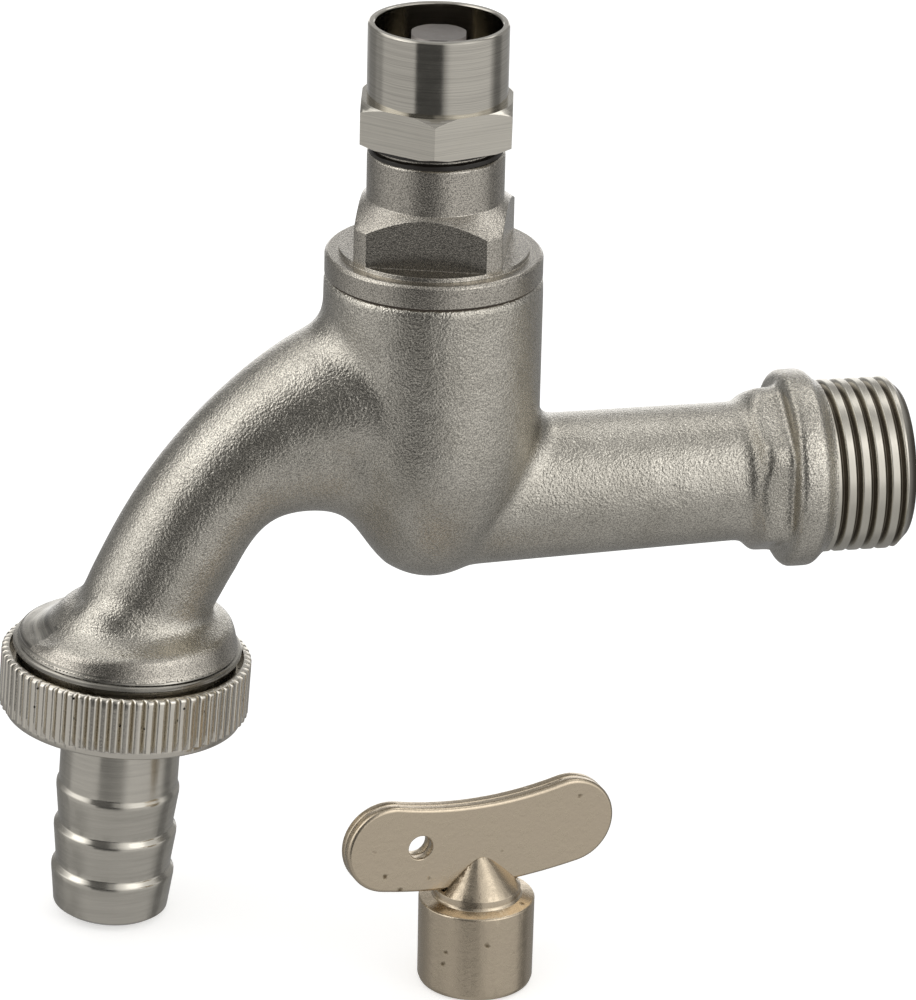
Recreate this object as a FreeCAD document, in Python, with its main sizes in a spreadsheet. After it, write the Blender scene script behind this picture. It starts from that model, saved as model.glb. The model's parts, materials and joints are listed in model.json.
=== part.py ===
import FreeCAD, Part
import math
import os
import re
import Sketcher
from FreeCAD import Placement, Rotation, Vector

# Half-inch bib tap with a hose union and a separate winged key. Millimetres, +Z up.
# The origin is where the inlet thread starts, on its axis in the stop collar's outer face.
# +X runs out of the branch to the wall, the spout points to -X, and the middle plane is XZ.
# Heights of the tap's own pieces are measured from the inlet axis.

doc = FreeCAD.newDocument("bib_tap")
sheet = doc.addObject("Spreadsheet::Sheet", "dims")

SIZES = [
    # alias, value, what it is
    ("inlet_reach", 58.0, "head axis to the inlet's end face"),
    ("pipe_thread_d", 20.955, "G 1/2 major diameter"),
    ("pipe_thread_len", 10.2, "length of the inlet thread"),
    ("inlet_bore_d", 12.4, "waterway of the inlet branch"),
    ("branch_d", 16.8, "inlet branch near the wrench swelling"),
    ("branch_root_d", 17.8, "inlet branch at the barrel"),
    ("collar_d", 24.0, "stop collar beside the thread"),
    ("collar_w", 5.0, "width of the stop collar"),
    ("grip_w", 4.7, "length of the wrench swelling"),
    ("grip_across", 18.9, "wrench swelling across its flats"),
    ("grip_d", 20.6, "turned diameter over its corners"),
    ("barrel_d", 26.0, "barrel"),
    ("barrel_top", 27.0, "height of the barrel's top face"),
    ("dome_z", 9.5, "height where the rounded bottom starts"),
    ("dome_low", -10.75, "lowest point of the barrel"),
    ("chamber_d", 20.7, "upper chamber and bonnet thread"),
    ("floor_z", 7.6, "floor of the upper chamber"),
    ("seat_z", 8.8, "height of the valve seat"),
    ("seat_d", 12.6, "outside of the raised seat"),
    ("seat_bore_d", 9.0, "hole through the seat"),
    ("sump_d", 16.0, "lower chamber"),
    ("sump_top", 5.2, "underside of the seat wall"),
    ("spout_bore_d", 10.6, "waterway of the spout"),
    ("sump_z", -0.5, "centre of the lower chamber's rounded bottom"),
    ("branch_round", 2.6, "rounding where the branch leaves the barrel"),
    ("branch_root_drop", 0.8, "the branch's root sits lower than the inlet axis"),
    ("spout_root_z", 12.3, "height of the spout's axis in the barrel"),
    ("spout_shoulder", 2.0, "barrel stands out beyond the spout's root on each side"),
    ("spout_neck_d", 18.4, "spout outside the barrel's wall"),
    ("spout_mid_d", 15.8, "spout where it turns down"),
    ("spout_end_d", 15.2, "spout above the nozzle"),
    ("spout_round", 4.0, "rounding where the spout leaves the barrel"),
    ("web_x", -14.5, "middle of the web under the spout's root, from the head axis"),
    ("web_z", 6.4, "height of the web's middle"),
    ("web_long", 11.5, "web's half length along the spout"),
    ("web_wide", 8.8, "web's half width"),
    ("web_deep", 8.2, "web's half height"),
    ("nozzle_lean", 3.7, "outlet axis leans out from vertical, degrees"),
    ("nozzle_x", 36.5, "outlet axis to head axis at the union nut's top face"),
    ("nozzle_drop", 18.9, "union nut's top face below the inlet axis"),
    ("nozzle_d", 26.4, "hose union thread, G 3/4 major diameter"),
    ("nozzle_len", 3.25, "nozzle end below the nut's top face"),
    ("nozzle_bore_d", 11.4, "waterway of the nozzle"),
    ("ring_d", 27.4, "machined ring over the nozzle"),
    ("ring_low", 0.5, "ring's lower edge above the nut's top face"),
    ("ring_high", 1.8, "ring's upper edge above the nut's top face"),
    ("flare_high", 6.2, "top of the cast flare above the nut's top face"),
    ("fit_turn", 0.1, "radial clearance of turning and screwed fits"),
    ("fit_slide", 0.08, "radial clearance of sliding fits"),
    ("gasket_t", 0.55, "bonnet gasket thickness"),
    ("flange_d", 25.8, "bonnet flange"),
    ("flange_t", 2.75, "bonnet flange thickness"),
    ("block_across", 17.45, "bonnet block across its flats"),
    ("block_d", 22.5, "turned diameter over the block's corners"),
    ("block_top", 34.9, "height where the block's cone starts"),
    ("cone_top", 37.2, "height where the block's cone ends"),
    ("block_turn", -17.5, "turn of the block about the head axis, degrees"),
    ("neck_d", 16.2, "bonnet neck"),
    ("neck_top", 42.8, "height of the neck's top"),
    ("sleeve_thread_d", 15.0, "thread for the sleeve nut"),
    ("sleeve_thread_top", 48.2, "height of the bonnet's top face"),
    ("bonnet_low", 18.5, "height of the bonnet's lower end"),
    ("spindle_thread_d", 10.0, "spindle thread"),
    ("spindle_thread_top", 29.0, "height of the spindle thread's upper end"),
    ("bonnet_thread_top", 32.9, "height where the bonnet's thread ends"),
    ("stem_d", 8.0, "plain stem of the spindle"),
    ("stop_d", 13.0, "stop collar at the spindle's lower end"),
    ("stop_z", 13.5, "height of the spindle's lower face, valve closed"),
    ("stop_t", 1.9, "thickness of the stop collar"),
    ("square_across", 6.35, "squared end across its flats"),
    ("square_low", 51.0, "height where the squared end starts"),
    ("spindle_top", 57.0, "height of the spindle's end"),
    ("square_turn", -12.0, "turn of the squared end, degrees"),
    ("packing_d", 11.2, "packing chamber"),
    ("packing_z", 39.4, "height of the packing chamber's floor"),
    ("packing_washer_t", 0.9, "metal ring under the packing"),
    ("packing_t", 2.5, "each packing ring"),
    ("sleeve_low", 44.4, "height of the sleeve nut's lower face"),
    ("sleeve_hex_top", 49.4, "height of the sleeve nut's shoulder"),
    ("sleeve_top", 58.3, "height of the sleeve's rim"),
    ("sleeve_d", 16.5, "sleeve tube"),
    ("sleeve_bore_d", 14.8, "bore of the sleeve tube"),
    ("sleeve_across", 17.6, "hexagon across its flats"),
    ("sleeve_turn", -12.8, "turn of a hexagon corner from the front, degrees"),
    ("web_low", 48.5, "height of the web's underside inside the sleeve"),
    ("web_t", 1.6, "thickness of the web"),
    ("jumper_d", 13.8, "valve disc"),
    ("jumper_t", 1.6, "valve disc thickness"),
    ("jumper_stem_d", 5.8, "stem above the disc"),
    ("jumper_stem_top", 21.6, "height of the stem's end, valve closed"),
    ("stud_d", 3.0, "stud below the disc"),
    ("stud_low", 6.2, "height of the stud's end, valve closed"),
    ("washer_d", 13.2, "valve washer"),
    ("washer_t", 3.0, "valve washer thickness"),
    ("valve_nut_across", 5.5, "valve nut across its flats"),
    ("valve_nut_t", 2.0, "valve nut height"),
    ("nut_d", 30.0, "union nut"),
    ("nut_high", 7.9, "union nut height"),
    ("nut_lip_t", 1.2, "lip under the tail's flange"),
    ("tail_flange_d", 24.6, "tail flange"),
    ("tail_flange_t", 1.3, "tail flange thickness"),
    ("tail_d", 14.4, "plain part of the tail"),
    ("barb_d", 14.9, "tail over its barbs"),
    ("barb_root_d", 13.9, "tail between its barbs"),
    ("barb_first", 17.6, "first barb below the nut's top face"),
    ("barb_pitch", 5.45, "spacing of the barbs"),
    ("tail_end", 33.8, "tail's end below the nut's top face"),
    ("tail_end_d", 12.2, "tail at its rounded end"),
    ("tail_bore_d", 10.0, "waterway of the tail"),
    ("union_washer_t", 1.5, "union washer thickness"),
    ("key_x", -46.1, "key axis along X"),
    ("key_y", -24.95, "key axis along Y"),
    ("key_turn", 11.0, "turn of the key's wing, degrees"),
    ("socket_d", 13.8, "key socket at its shoulder"),
    ("socket_end_d", 13.7, "key socket at its lower end"),
    ("socket_len", 11.0, "lower end to shoulder"),
    ("socket_ring_d", 10.4, "ring above the shoulder"),
    ("socket_ring_top", 12.4, "top of that ring"),
    ("cone_tip_z", 17.2, "tip of the cone between the plates"),
    ("cone_tip_d", 1.2, "cone at its tip"),
    ("socket_depth", 9.0, "depth of the square hole"),
    ("plate_t", 1.3, "each wing plate"),
    ("plate_edge", 0.3, "bevel of a wing plate's outer edge"),
    ("wing_low", 12.65, "wing's lowest edge at the middle"),
    ("wing_high", 23.25, "wing's upper edge at the middle"),
    ("lobe_d", 10.85, "round end of the wing"),
    ("lobe_x", 11.5, "centre of the round end from the key axis"),
    ("lobe_z", 19.15, "height of the round end's centre"),
    ("ring_hole_d", 3.0, "hole for a key ring"),
    ("ring_hole_x", 7.8, "hole from the key axis"),
]

values = {}
for row, (alias, value, note) in enumerate(SIZES, start=1):
    sheet.set("A%d" % row, note)
    sheet.set("B%d" % row, str(value))
    sheet.setAlias("B%d" % row, alias)
    values[alias] = value
doc.recompute()

PLANE_ROLES = {"XY": "XY_Plane", "XZ": "XZ_Plane", "YZ": "YZ_Plane"}
X_AXIS = Vector(1, 0, 0)
Y_AXIS = Vector(0, 1, 0)
Z_AXIS = Vector(0, 0, 1)
volumes = {}


def sized(text):
    """Expression text in which every size's name points at its cell."""
    return re.sub(r"[a-z][a-z_]*[a-z]", lambda word: "dims." + word.group() if word.group() in values
                  else word.group(), text)


def bind(item, prop, text):
    item.setExpression(prop, sized(text))


def make_body(label):
    body = doc.addObject("PartDesign::Body", label)
    body.Label = label
    volumes[body.Name] = 0.0
    return body


def finish(body, item, cut=False):
    """Make the feature the body's tip, and make sure that it cut or added something."""
    body.Tip = item
    doc.recompute()
    if item.Shape.isNull() or "Invalid" in item.State or "Error" in item.State:
        raise RuntimeError("%s failed: %s" % (item.Name, item.State))
    change = item.Shape.Volume - volumes[body.Name]
    if change * (-1 if cut else 1) < 1e-3:
        raise RuntimeError("%s changes the volume by %.4f" % (item.Name, change))
    volumes[body.Name] = item.Shape.Volume
    return item


def make_sketch(body, name, plane, across="0 mm", up="0 mm", out="0 mm", tilt=None, axis=Z_AXIS):
    """Sketch on an origin plane of its body, moved in the plane's own directions and tilted."""
    sketch = body.newObject("Sketcher::SketchObject", name)
    roles = {item.Role: item for item in body.Origin.OriginFeatures}
    sketch.AttachmentSupport = [(roles[PLANE_ROLES[plane]], "")]
    sketch.MapMode = "FlatFace"
    if tilt:
        sketch.AttachmentOffset = Placement(Vector(), Rotation(axis, 10))
        bind(sketch, "AttachmentOffset.Rotation.Angle", tilt)
    for letter, text in (("x", across), ("y", up), ("z", out)):
        bind(sketch, "AttachmentOffset.Base." + letter, text)
    return sketch


def hold(sketch, kind, spot, start, text):
    """Hold one coordinate of a point of the sketch at a bound value."""
    number = sketch.addConstraint(Sketcher.Constraint(kind, -1, 1, spot[0], spot[1], start))
    sketch.setExpression("Constraints[%d]" % number, sized(text))


def polygon(sketch, corners):
    """Closed outline whose corners are pairs of expressions, measured from the sketch's origin."""
    count = len(corners)
    first = sketch.GeometryCount
    ring = [Vector(30, 0, 0)]
    for i in range(1, count):
        ring.append(Vector(30 * math.cos(2 * math.pi * i / count), 30 * math.sin(2 * math.pi * i / count), 0))
    for i in range(count):
        sketch.addGeometry(Part.LineSegment(ring[i], ring[(i + 1) % count]), False)
    for i in range(count):
        sketch.addConstraint(Sketcher.Constraint("Coincident", first + i, 2, first + (i + 1) % count, 1))
    for i, (along, up) in enumerate(corners):
        hold(sketch, "DistanceX", (first + i, 1), ring[i].x, along)
        hold(sketch, "DistanceY", (first + i, 1), ring[i].y, up)
    return sketch


def regular(sketch, sides, across, turn="0"):
    """Regular outline with a bound size across its flats; turn is the direction of one corner."""
    corners = []
    for i in range(sides):
        way = "(%s + %g) * 1 deg" % (turn, 360.0 * i / sides)
        reach = "(%s) / 2 / cos(%g deg)" % (across, 180.0 / sides)
        corners.append(("%s * cos(%s)" % (reach, way), "%s * sin(%s)" % (reach, way)))
    return polygon(sketch, corners)


def disc(sketch, across, side="0 mm", up="0 mm"):
    """Circle with a bound diameter and centre."""
    first = sketch.addGeometry(Part.Circle(Vector(1, 1, 0), Z_AXIS, 4.0), False)
    hold(sketch, "DistanceX", (first, 3), 1.0, side)
    hold(sketch, "DistanceY", (first, 3), 1.0, up)
    number = sketch.addConstraint(Sketcher.Constraint("Diameter", first, 8.0))
    sketch.setExpression("Constraints[%d]" % number, sized(across))
    return sketch


def turned(body, name, corners, cut=False, sketch=None, axis="V_Axis"):
    """Turn an outline about the sketch's upright or level axis, adding to the body or cutting it."""
    sketch = sketch or make_sketch(body, name + "_outline", "XZ")
    polygon(sketch, corners)
    item = body.newObject("PartDesign::Groove" if cut else "PartDesign::Revolution", name)
    item.Profile = sketch
    item.ReferenceAxis = (sketch, [axis])
    item.Angle = 360.0
    return finish(body, item, cut)


def pushed(body, name, sketch, length, cut=False, back=False):
    """Pad or pocket a sketch by a bound length."""
    item = body.newObject("PartDesign::Pocket" if cut else "PartDesign::Pad", name)
    item.Profile = sketch
    bind(item, "Length", length)
    item.Reversed = back
    return finish(body, item, cut)


def flats(body, name, sides, across, turn, top, low, room):
    """Mill flats on a turned piece: everything outside a regular outline goes, from top to low."""
    sketch = make_sketch(body, name + "_outline", "XY", out=top)
    regular(sketch, sides, across, turn)
    disc(sketch, room)
    return pushed(body, name, sketch, "(%s) - (%s)" % (top, low), cut=True)


def lofted(body, name, sections, cut=False):
    item = body.newObject("PartDesign::SubtractiveLoft" if cut else "PartDesign::AdditiveLoft", name)
    item.Profile = sections[0]
    item.Sections = sections[1:]
    item.Ruled = False
    item.Closed = False
    return finish(body, item, cut)


def ball(body, name, across, up, cut=False):
    item = body.newObject("PartDesign::SubtractiveSphere" if cut else "PartDesign::AdditiveSphere", name)
    bind(item, "Radius", "(%s) / 2" % across)
    bind(item, "Placement.Base.z", up)
    return finish(body, item, cut)


def eased(body, name, kind, size, wanted):
    """Fillet or chamfer the edges of the tip that a test picks."""
    base = body.Tip
    names = ["Edge%d" % (i + 1) for i, edge in enumerate(base.Shape.Edges) if wanted(edge)]
    if not names:
        raise RuntimeError(name + " finds no edge")
    item = body.newObject("PartDesign::" + kind, name)
    item.Base = (base, names)
    bind(item, "Radius" if kind == "Fillet" else "Size", size)
    body.Tip = item
    doc.recompute()
    if item.Shape.isNull() or "Invalid" in item.State or "Error" in item.State:
        raise RuntimeError("%s failed: %s" % (item.Name, item.State))
    volumes[body.Name] = item.Shape.Volume
    return item


def place(body, across="pipe_thread_len - inlet_reach", depth="0 mm", up="0 mm", turn=None, axis=Z_AXIS):
    """Stand a finished body in the tap's frame."""
    if turn:
        body.Placement = Placement(Vector(), Rotation(axis, 10))
        bind(body, "Placement.Rotation.Angle", turn)
    for letter, text in (("x", across), ("y", depth), ("z", up)):
        bind(body, "Placement.Base." + letter, text)


def ring(label, bore, across, low, high):
    """Plain flat or tall ring about the head axis."""
    body = make_body(label)
    inner, outer = "(%s) / 2" % bore, "(%s) / 2" % across
    turned(body, label + "_ring", [(inner, low), (outer, low), (outer, high), (inner, high)])
    return body


# The casting. Its own origin is where the head axis meets the inlet axis.
tap_body = make_body("tap_body")

thread_start = "inlet_reach - pipe_thread_len"
collar_start = "inlet_reach - pipe_thread_len - collar_w"
grip_start = "inlet_reach - pipe_thread_len - collar_w - grip_w"

grip = make_sketch(tap_body, "grip_hexagon", "YZ", out=grip_start)
regular(grip, 6, "grip_across", "30")
pushed(tap_body, "grip_flats", grip, "grip_w")
turned(tap_body, "grip_corners", [
    (grip_start + " - 0.1", "branch_d / 2"),
    (grip_start + " + 1.7", "grip_d / 2"),
    (collar_start + " + 0.1", "grip_d / 2"),
    (collar_start + " + 0.1", "grip_d"),
    (grip_start + " - 0.1", "grip_d"),
], cut=True, axis="H_Axis")
lofted(tap_body, "branch_pipe", [
    disc(make_sketch(tap_body, "branch_root", "YZ"), "branch_root_d", up="-branch_root_drop"),
    disc(make_sketch(tap_body, "branch_end", "YZ", out=grip_start + " + 1"), "branch_d"),
])
turned(tap_body, "inlet_end", [
    (grip_start + " + 0.6", "0 mm"),
    (grip_start + " + 0.6", "branch_d / 2"),
    (collar_start, "branch_d / 2"),
    (collar_start, "collar_d / 2 - 0.7"),
    (collar_start + " + 0.7", "collar_d / 2"),
    (collar_start + " + collar_w * 0.68", "collar_d / 2"),
    (thread_start, "pipe_thread_d / 2"),
    ("inlet_reach - 1.1", "pipe_thread_d / 2"),
    ("inlet_reach", "pipe_thread_d / 2 - 1.3"),
    ("inlet_reach", "0 mm"),
], axis="H_Axis")
turned(tap_body, "barrel", [
    ("0 mm", "dome_z"),
    ("barrel_d / 2", "dome_z"),
    ("barrel_d / 2", "barrel_top - 0.5"),
    ("barrel_d / 2 - 0.5", "barrel_top"),
    ("0 mm", "barrel_top"),
])
dome = tap_body.newObject("PartDesign::AdditiveEllipsoid", "dome")
bind(dome, "Radius1", "dome_z - dome_low")
bind(dome, "Radius2", "barrel_d / 2")
bind(dome, "Radius3", "barrel_d / 2")
bind(dome, "Placement.Base.z", "dome_z")
dome.Angle2 = 0.0
finish(tap_body, dome)


def leaves_barrel(side):
    """Test for the edges where a pipe leaves the barrel on one side: +1 the branch, -1 the spout."""
    def wanted(edge):
        box = edge.BoundBox
        near, far = sorted((box.XMin * side, box.XMax * side))
        return box.YLength > 2 and near > 1 and far < values["barrel_d"] / 2 + 0.1
    return wanted


eased(tap_body, "branch_root_round", "Fillet", "branch_round", leaves_barrel(1))

# The spout's stations: share of the way out, share of the way down, slope, outside, widening of the bore.
SPOUT = [
    (0.150, 0.000, 3, "barrel_d - 2 * spout_shoulder", 1.12),
    (0.370, 0.036, 22, "spout_neck_d", 1.08),
    (0.600, 0.210, 42, "spout_mid_d", 1.04),
    (0.786, 0.466, 55, "spout_end_d", 1.00),
    (0.910, 0.730, 63, "spout_end_d", 1.00),
    (0.972, 0.880, 72, "spout_end_d", 1.00),
]
outside, waterway = [], []
for number, (out, down, slope, across, bore) in enumerate(SPOUT):
    reach = "-nozzle_x * %g" % out
    up = "spout_root_z - (spout_root_z + nozzle_drop) * %g" % down
    spot = dict(up=up, out=reach, tilt="%g deg" % -slope, axis=X_AXIS)
    outside.append(disc(make_sketch(tap_body, "spout_%d" % number, "YZ", **spot), across))
    waterway.append(disc(make_sketch(tap_body, "waterway_%d" % number, "YZ", **spot),
                         "spout_bore_d * %g" % bore))
lofted(tap_body, "spout", outside)
eased(tap_body, "spout_root_round", "Fillet", "spout_round", leaves_barrel(-1))
web = tap_body.newObject("PartDesign::AdditiveEllipsoid", "crotch_web")
bind(web, "Radius1", "web_deep")
bind(web, "Radius2", "web_long")
bind(web, "Radius3", "web_wide")
bind(web, "Placement.Base.x", "web_x")
bind(web, "Placement.Base.z", "web_z")
finish(tap_body, web)

nozzle_spot = dict(across="-nozzle_x", up="-nozzle_drop", tilt="-nozzle_lean * 1 deg", axis=Z_AXIS)
turned(tap_body, "nozzle", [
    ("0 mm", "flare_high"),
    ("spout_end_d / 2 + 0.2", "flare_high"),
    ("ring_d * 0.335", "ring_high + (flare_high - ring_high) * 0.62"),
    ("ring_d * 0.39", "ring_high + (flare_high - ring_high) * 0.40"),
    ("ring_d * 0.45", "ring_high + (flare_high - ring_high) * 0.20"),
    ("ring_d * 0.47", "ring_high"),
    ("ring_d / 2 - 0.15", "(ring_high + ring_low) / 2 + 0.15"),
    ("ring_d / 2", "(ring_high + ring_low) / 2"),
    ("ring_d / 2", "ring_low + 0.2"),
    ("ring_d / 2 - 0.2", "ring_low"),
    ("nozzle_d / 2", "ring_low"),
    ("nozzle_d / 2", "-nozzle_len + 0.6"),
    ("nozzle_d / 2 - 0.6", "-nozzle_len"),
    ("0 mm", "-nozzle_len"),
], sketch=make_sketch(tap_body, "nozzle_outline", "XZ", **nozzle_spot))


turned(tap_body, "chamber", [
    ("seat_d / 2", "floor_z"),
    ("chamber_d / 2", "floor_z"),
    ("chamber_d / 2", "barrel_top + 1"),
    ("0 mm", "barrel_top + 1"),
    ("0 mm", "seat_z"),
    ("seat_d / 2", "seat_z"),
], cut=True)
turned(tap_body, "sump", [
    ("0 mm", "sump_z"),
    ("sump_d / 2", "sump_z"),
    ("sump_d / 2", "sump_top"),
    ("0 mm", "sump_top"),
], cut=True)
ball(tap_body, "sump_bottom", "sump_d", "sump_z", cut=True)
turned(tap_body, "seat_bore", [
    ("0 mm", "sump_top - 1"),
    ("seat_bore_d / 2", "sump_top - 1"),
    ("seat_bore_d / 2", "seat_z + 0.1"),
    ("0 mm", "seat_z + 0.1"),
], cut=True)
turned(tap_body, "inlet_bore", [
    ("0 mm", "0 mm"),
    ("0 mm", "inlet_bore_d / 2"),
    ("inlet_reach - 0.8", "inlet_bore_d / 2"),
    ("inlet_reach + 0.1", "inlet_bore_d / 2 + 0.9"),
    ("inlet_reach + 0.1", "0 mm"),
], cut=True, axis="H_Axis")
lofted(tap_body, "spout_bore", waterway, cut=True)
turned(tap_body, "nozzle_bore", [
    ("0 mm", "flare_high - 2.4"),
    ("nozzle_bore_d / 2", "flare_high - 2.4"),
    ("nozzle_bore_d / 2", "-nozzle_len - 0.1"),
    ("0 mm", "-nozzle_len - 0.1"),
], cut=True, sketch=make_sketch(tap_body, "nozzle_bore_outline", "XZ", **nozzle_spot))

# The headwork, about the head axis.
bonnet = make_body("bonnet")
flange_low = "barrel_top + gasket_t"
flange_high = "barrel_top + gasket_t + flange_t"
bonnet_bore = "spindle_thread_d / 2 + fit_turn"
stem_bore = "stem_d / 2 + fit_turn"
turned(bonnet, "bonnet_turning", [
    (bonnet_bore, "bonnet_low"),
    ("chamber_d / 2 - fit_slide", "bonnet_low"),
    ("chamber_d / 2 - fit_slide", flange_low),
    ("flange_d / 2", flange_low),
    ("flange_d / 2", flange_high + " - 0.35"),
    ("flange_d / 2 - 0.35", flange_high),
    ("block_d / 2", flange_high),
    ("block_d / 2", "block_top"),
    ("neck_d / 2", "cone_top"),
    ("neck_d / 2", "neck_top - 0.3"),
    ("neck_d / 2 - 0.3", "neck_top"),
    ("sleeve_thread_d / 2", "neck_top"),
    ("sleeve_thread_d / 2", "sleeve_thread_top - 0.4"),
    ("sleeve_thread_d / 2 - 0.4", "sleeve_thread_top"),
    ("packing_d / 2", "sleeve_thread_top"),
    ("packing_d / 2", "packing_z"),
    (stem_bore, "packing_z"),
    (stem_bore, "bonnet_thread_top"),
    (bonnet_bore, "bonnet_thread_top"),
])
flats(bonnet, "block_flats", 4, "block_across", "block_turn + 45", "cone_top + 0.1",
      flange_high + " + 0.5", "flange_d + 10")

bonnet_gasket = ring("bonnet_gasket", "chamber_d + 0.2", "flange_d - 0.6", "barrel_top", flange_low)

packing_bore = "stem_d + 2 * fit_turn"
packing_outer = "packing_d - 2 * fit_slide"
washer_top = "packing_z + packing_washer_t"
packing_washer = ring("packing_washer", packing_bore, packing_outer, "packing_z", washer_top)
packing_ring_lower = ring("packing_ring_lower", packing_bore, packing_outer, washer_top,
                          washer_top + " + packing_t")
packing_ring_upper = ring("packing_ring_upper", packing_bore, packing_outer,
                          washer_top + " + packing_t", washer_top + " + packing_t * 2")
gland_follower = ring("gland_follower", packing_bore, packing_outer,
                      washer_top + " + packing_t * 2", "web_low")

spindle = make_body("spindle")
socket_bore = "jumper_stem_d / 2 + fit_turn"
turned(spindle, "spindle_turning", [
    (socket_bore, "stop_z"),
    ("stop_d / 2", "stop_z"),
    ("stop_d / 2", "stop_z + stop_t"),
    ("spindle_thread_d / 2", "stop_z + stop_t"),
    ("spindle_thread_d / 2", "spindle_thread_top"),
    ("stem_d / 2", "spindle_thread_top + 0.6"),
    ("stem_d / 2", "spindle_top - 0.7"),
    ("stem_d / 2 - 0.7", "spindle_top"),
    ("0 mm", "spindle_top"),
    ("0 mm", "jumper_stem_top + 1"),
    (socket_bore, "jumper_stem_top + 1"),
])
flats(spindle, "spindle_square", 4, "square_across", "square_turn + 45", "spindle_top + 0.1",
      "square_low", "stem_d + 6")

sleeve_nut = make_body("sleeve_nut")
hexagon = make_sketch(sleeve_nut, "sleeve_hexagon", "XY", out="sleeve_low")
regular(hexagon, 6, "sleeve_across", "sleeve_turn - 90")
pushed(sleeve_nut, "sleeve_flats", hexagon, "sleeve_hex_top - sleeve_low")
turned(sleeve_nut, "hexagon_chamfer", [
    ("sleeve_across / 2 + 0.05", "sleeve_hex_top + 0.1"),
    ("sleeve_across / 2 + 1.6", "sleeve_hex_top - 0.9"),
    ("sleeve_across / 2 + 1.6", "sleeve_hex_top + 0.1"),
], cut=True)
turned(sleeve_nut, "hexagon_low_chamfer", [
    ("sleeve_across / 2 + 0.3", "sleeve_low - 0.1"),
    ("sleeve_across / 2 + 1.6", "sleeve_low + 0.5"),
    ("sleeve_across / 2 + 1.6", "sleeve_low - 0.1"),
], cut=True)
turned(sleeve_nut, "sleeve_tube", [
    ("0 mm", "sleeve_low + 1"),
    ("sleeve_d / 2", "sleeve_low + 1"),
    ("sleeve_d / 2", "sleeve_top - 0.2"),
    ("sleeve_d / 2 - 0.2", "sleeve_top"),
    ("0 mm", "sleeve_top"),
])
turned(sleeve_nut, "sleeve_bore", [
    ("0 mm", "web_low + web_t"),
    ("sleeve_bore_d / 2", "web_low + web_t"),
    ("sleeve_bore_d / 2", "sleeve_top - 0.15"),
    ("sleeve_bore_d / 2 + 0.25", "sleeve_top + 0.1"),
    ("0 mm", "sleeve_top + 0.1"),
], cut=True)
turned(sleeve_nut, "sleeve_thread_bore", [
    ("0 mm", "sleeve_low - 0.1"),
    ("sleeve_thread_d / 2 + fit_slide", "sleeve_low - 0.1"),
    ("sleeve_thread_d / 2 + fit_slide", "web_low"),
    ("0 mm", "web_low"),
], cut=True)
turned(sleeve_nut, "web_hole", [
    ("0 mm", "web_low - 0.1"),
    (stem_bore, "web_low - 0.1"),
    (stem_bore, "web_low + web_t + 0.1"),
    ("0 mm", "web_low + web_t + 0.1"),
], cut=True)

# The valve: disc, washer and nut rise and sink together under the spindle.
disc_low = "seat_z + washer_t"
disc_high = "seat_z + washer_t + jumper_t"
jumper = make_body("jumper")
turned(jumper, "jumper_turning", [
    ("0 mm", "stud_low"),
    ("stud_d / 2", "stud_low"),
    ("stud_d / 2", disc_low),
    ("jumper_d / 2", disc_low),
    ("jumper_d / 2", disc_high),
    ("jumper_stem_d / 2", disc_high),
    ("jumper_stem_d / 2", "jumper_stem_top"),
    ("0 mm", "jumper_stem_top"),
])
valve_washer = ring("valve_washer", "stud_d + 2 * fit_slide", "washer_d", "seat_z", disc_low)
valve_nut = make_body("valve_nut")
nut_outline = make_sketch(valve_nut, "valve_nut_outline", "XY", out="seat_z - valve_nut_t")
regular(nut_outline, 6, "valve_nut_across")
disc(nut_outline, "stud_d + 2 * fit_slide")
pushed(valve_nut, "valve_nut_pad", nut_outline, "valve_nut_t")

for body in (tap_body, bonnet, bonnet_gasket, packing_washer, packing_ring_lower, packing_ring_upper,
             gland_follower, spindle, sleeve_nut, jumper, valve_washer, valve_nut):
    place(body)

# The hose union, about the leaning outlet axis. Its origin is the nut's top face.
union_nut = make_body("union_nut")
turned(union_nut, "union_nut_turning", [
    ("nozzle_d / 2 + fit_turn", "0 mm"),
    ("nut_d / 2 - 0.4", "0 mm"),
    ("nut_d / 2", "-0.4"),
    ("nut_d / 2", "-nut_high + 0.9"),
    ("nut_d / 2 - 0.5", "-nut_high"),
    ("tail_d / 2 + 0.4", "-nut_high"),
    ("tail_d / 2 + 0.4", "-nut_high + nut_lip_t"),
    ("nozzle_d / 2 + fit_turn", "-nut_high + nut_lip_t"),
])
union_washer = ring("union_washer", "nozzle_bore_d + 0.4", "tail_flange_d",
                    "-nozzle_len - union_washer_t", "-nozzle_len")

hose_tail = make_body("hose_tail")
flange_up = "-nozzle_len - union_washer_t"
tail_outline = [
    ("tail_bore_d / 2", flange_up),
    ("tail_flange_d / 2", flange_up),
    ("tail_flange_d / 2", flange_up + " - tail_flange_t"),
    ("tail_d / 2", flange_up + " - tail_flange_t"),
    ("tail_d / 2", "-barb_first + 0.7"),
]
for number in range(3):
    ridge = "-barb_first - barb_pitch * %d" % number
    tail_outline.append(("barb_d / 2", ridge + " + 0.2"))
    tail_outline.append(("barb_d / 2", ridge + " - 0.35"))
    tail_outline.append(("barb_root_d / 2", ridge + " - barb_pitch * 0.86"))
tail_outline += [
    ("tail_end_d / 2 + 0.4", "-tail_end + 0.3"),
    ("tail_end_d / 2", "-tail_end"),
    ("tail_bore_d / 2", "-tail_end"),
]
turned(hose_tail, "hose_tail_turning", tail_outline)

for body in (union_nut, union_washer, hose_tail):
    place(body, "pipe_thread_len - inlet_reach - nozzle_x", up="-nozzle_drop", turn="nozzle_lean * 1 deg", axis=Y_AXIS)

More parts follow.
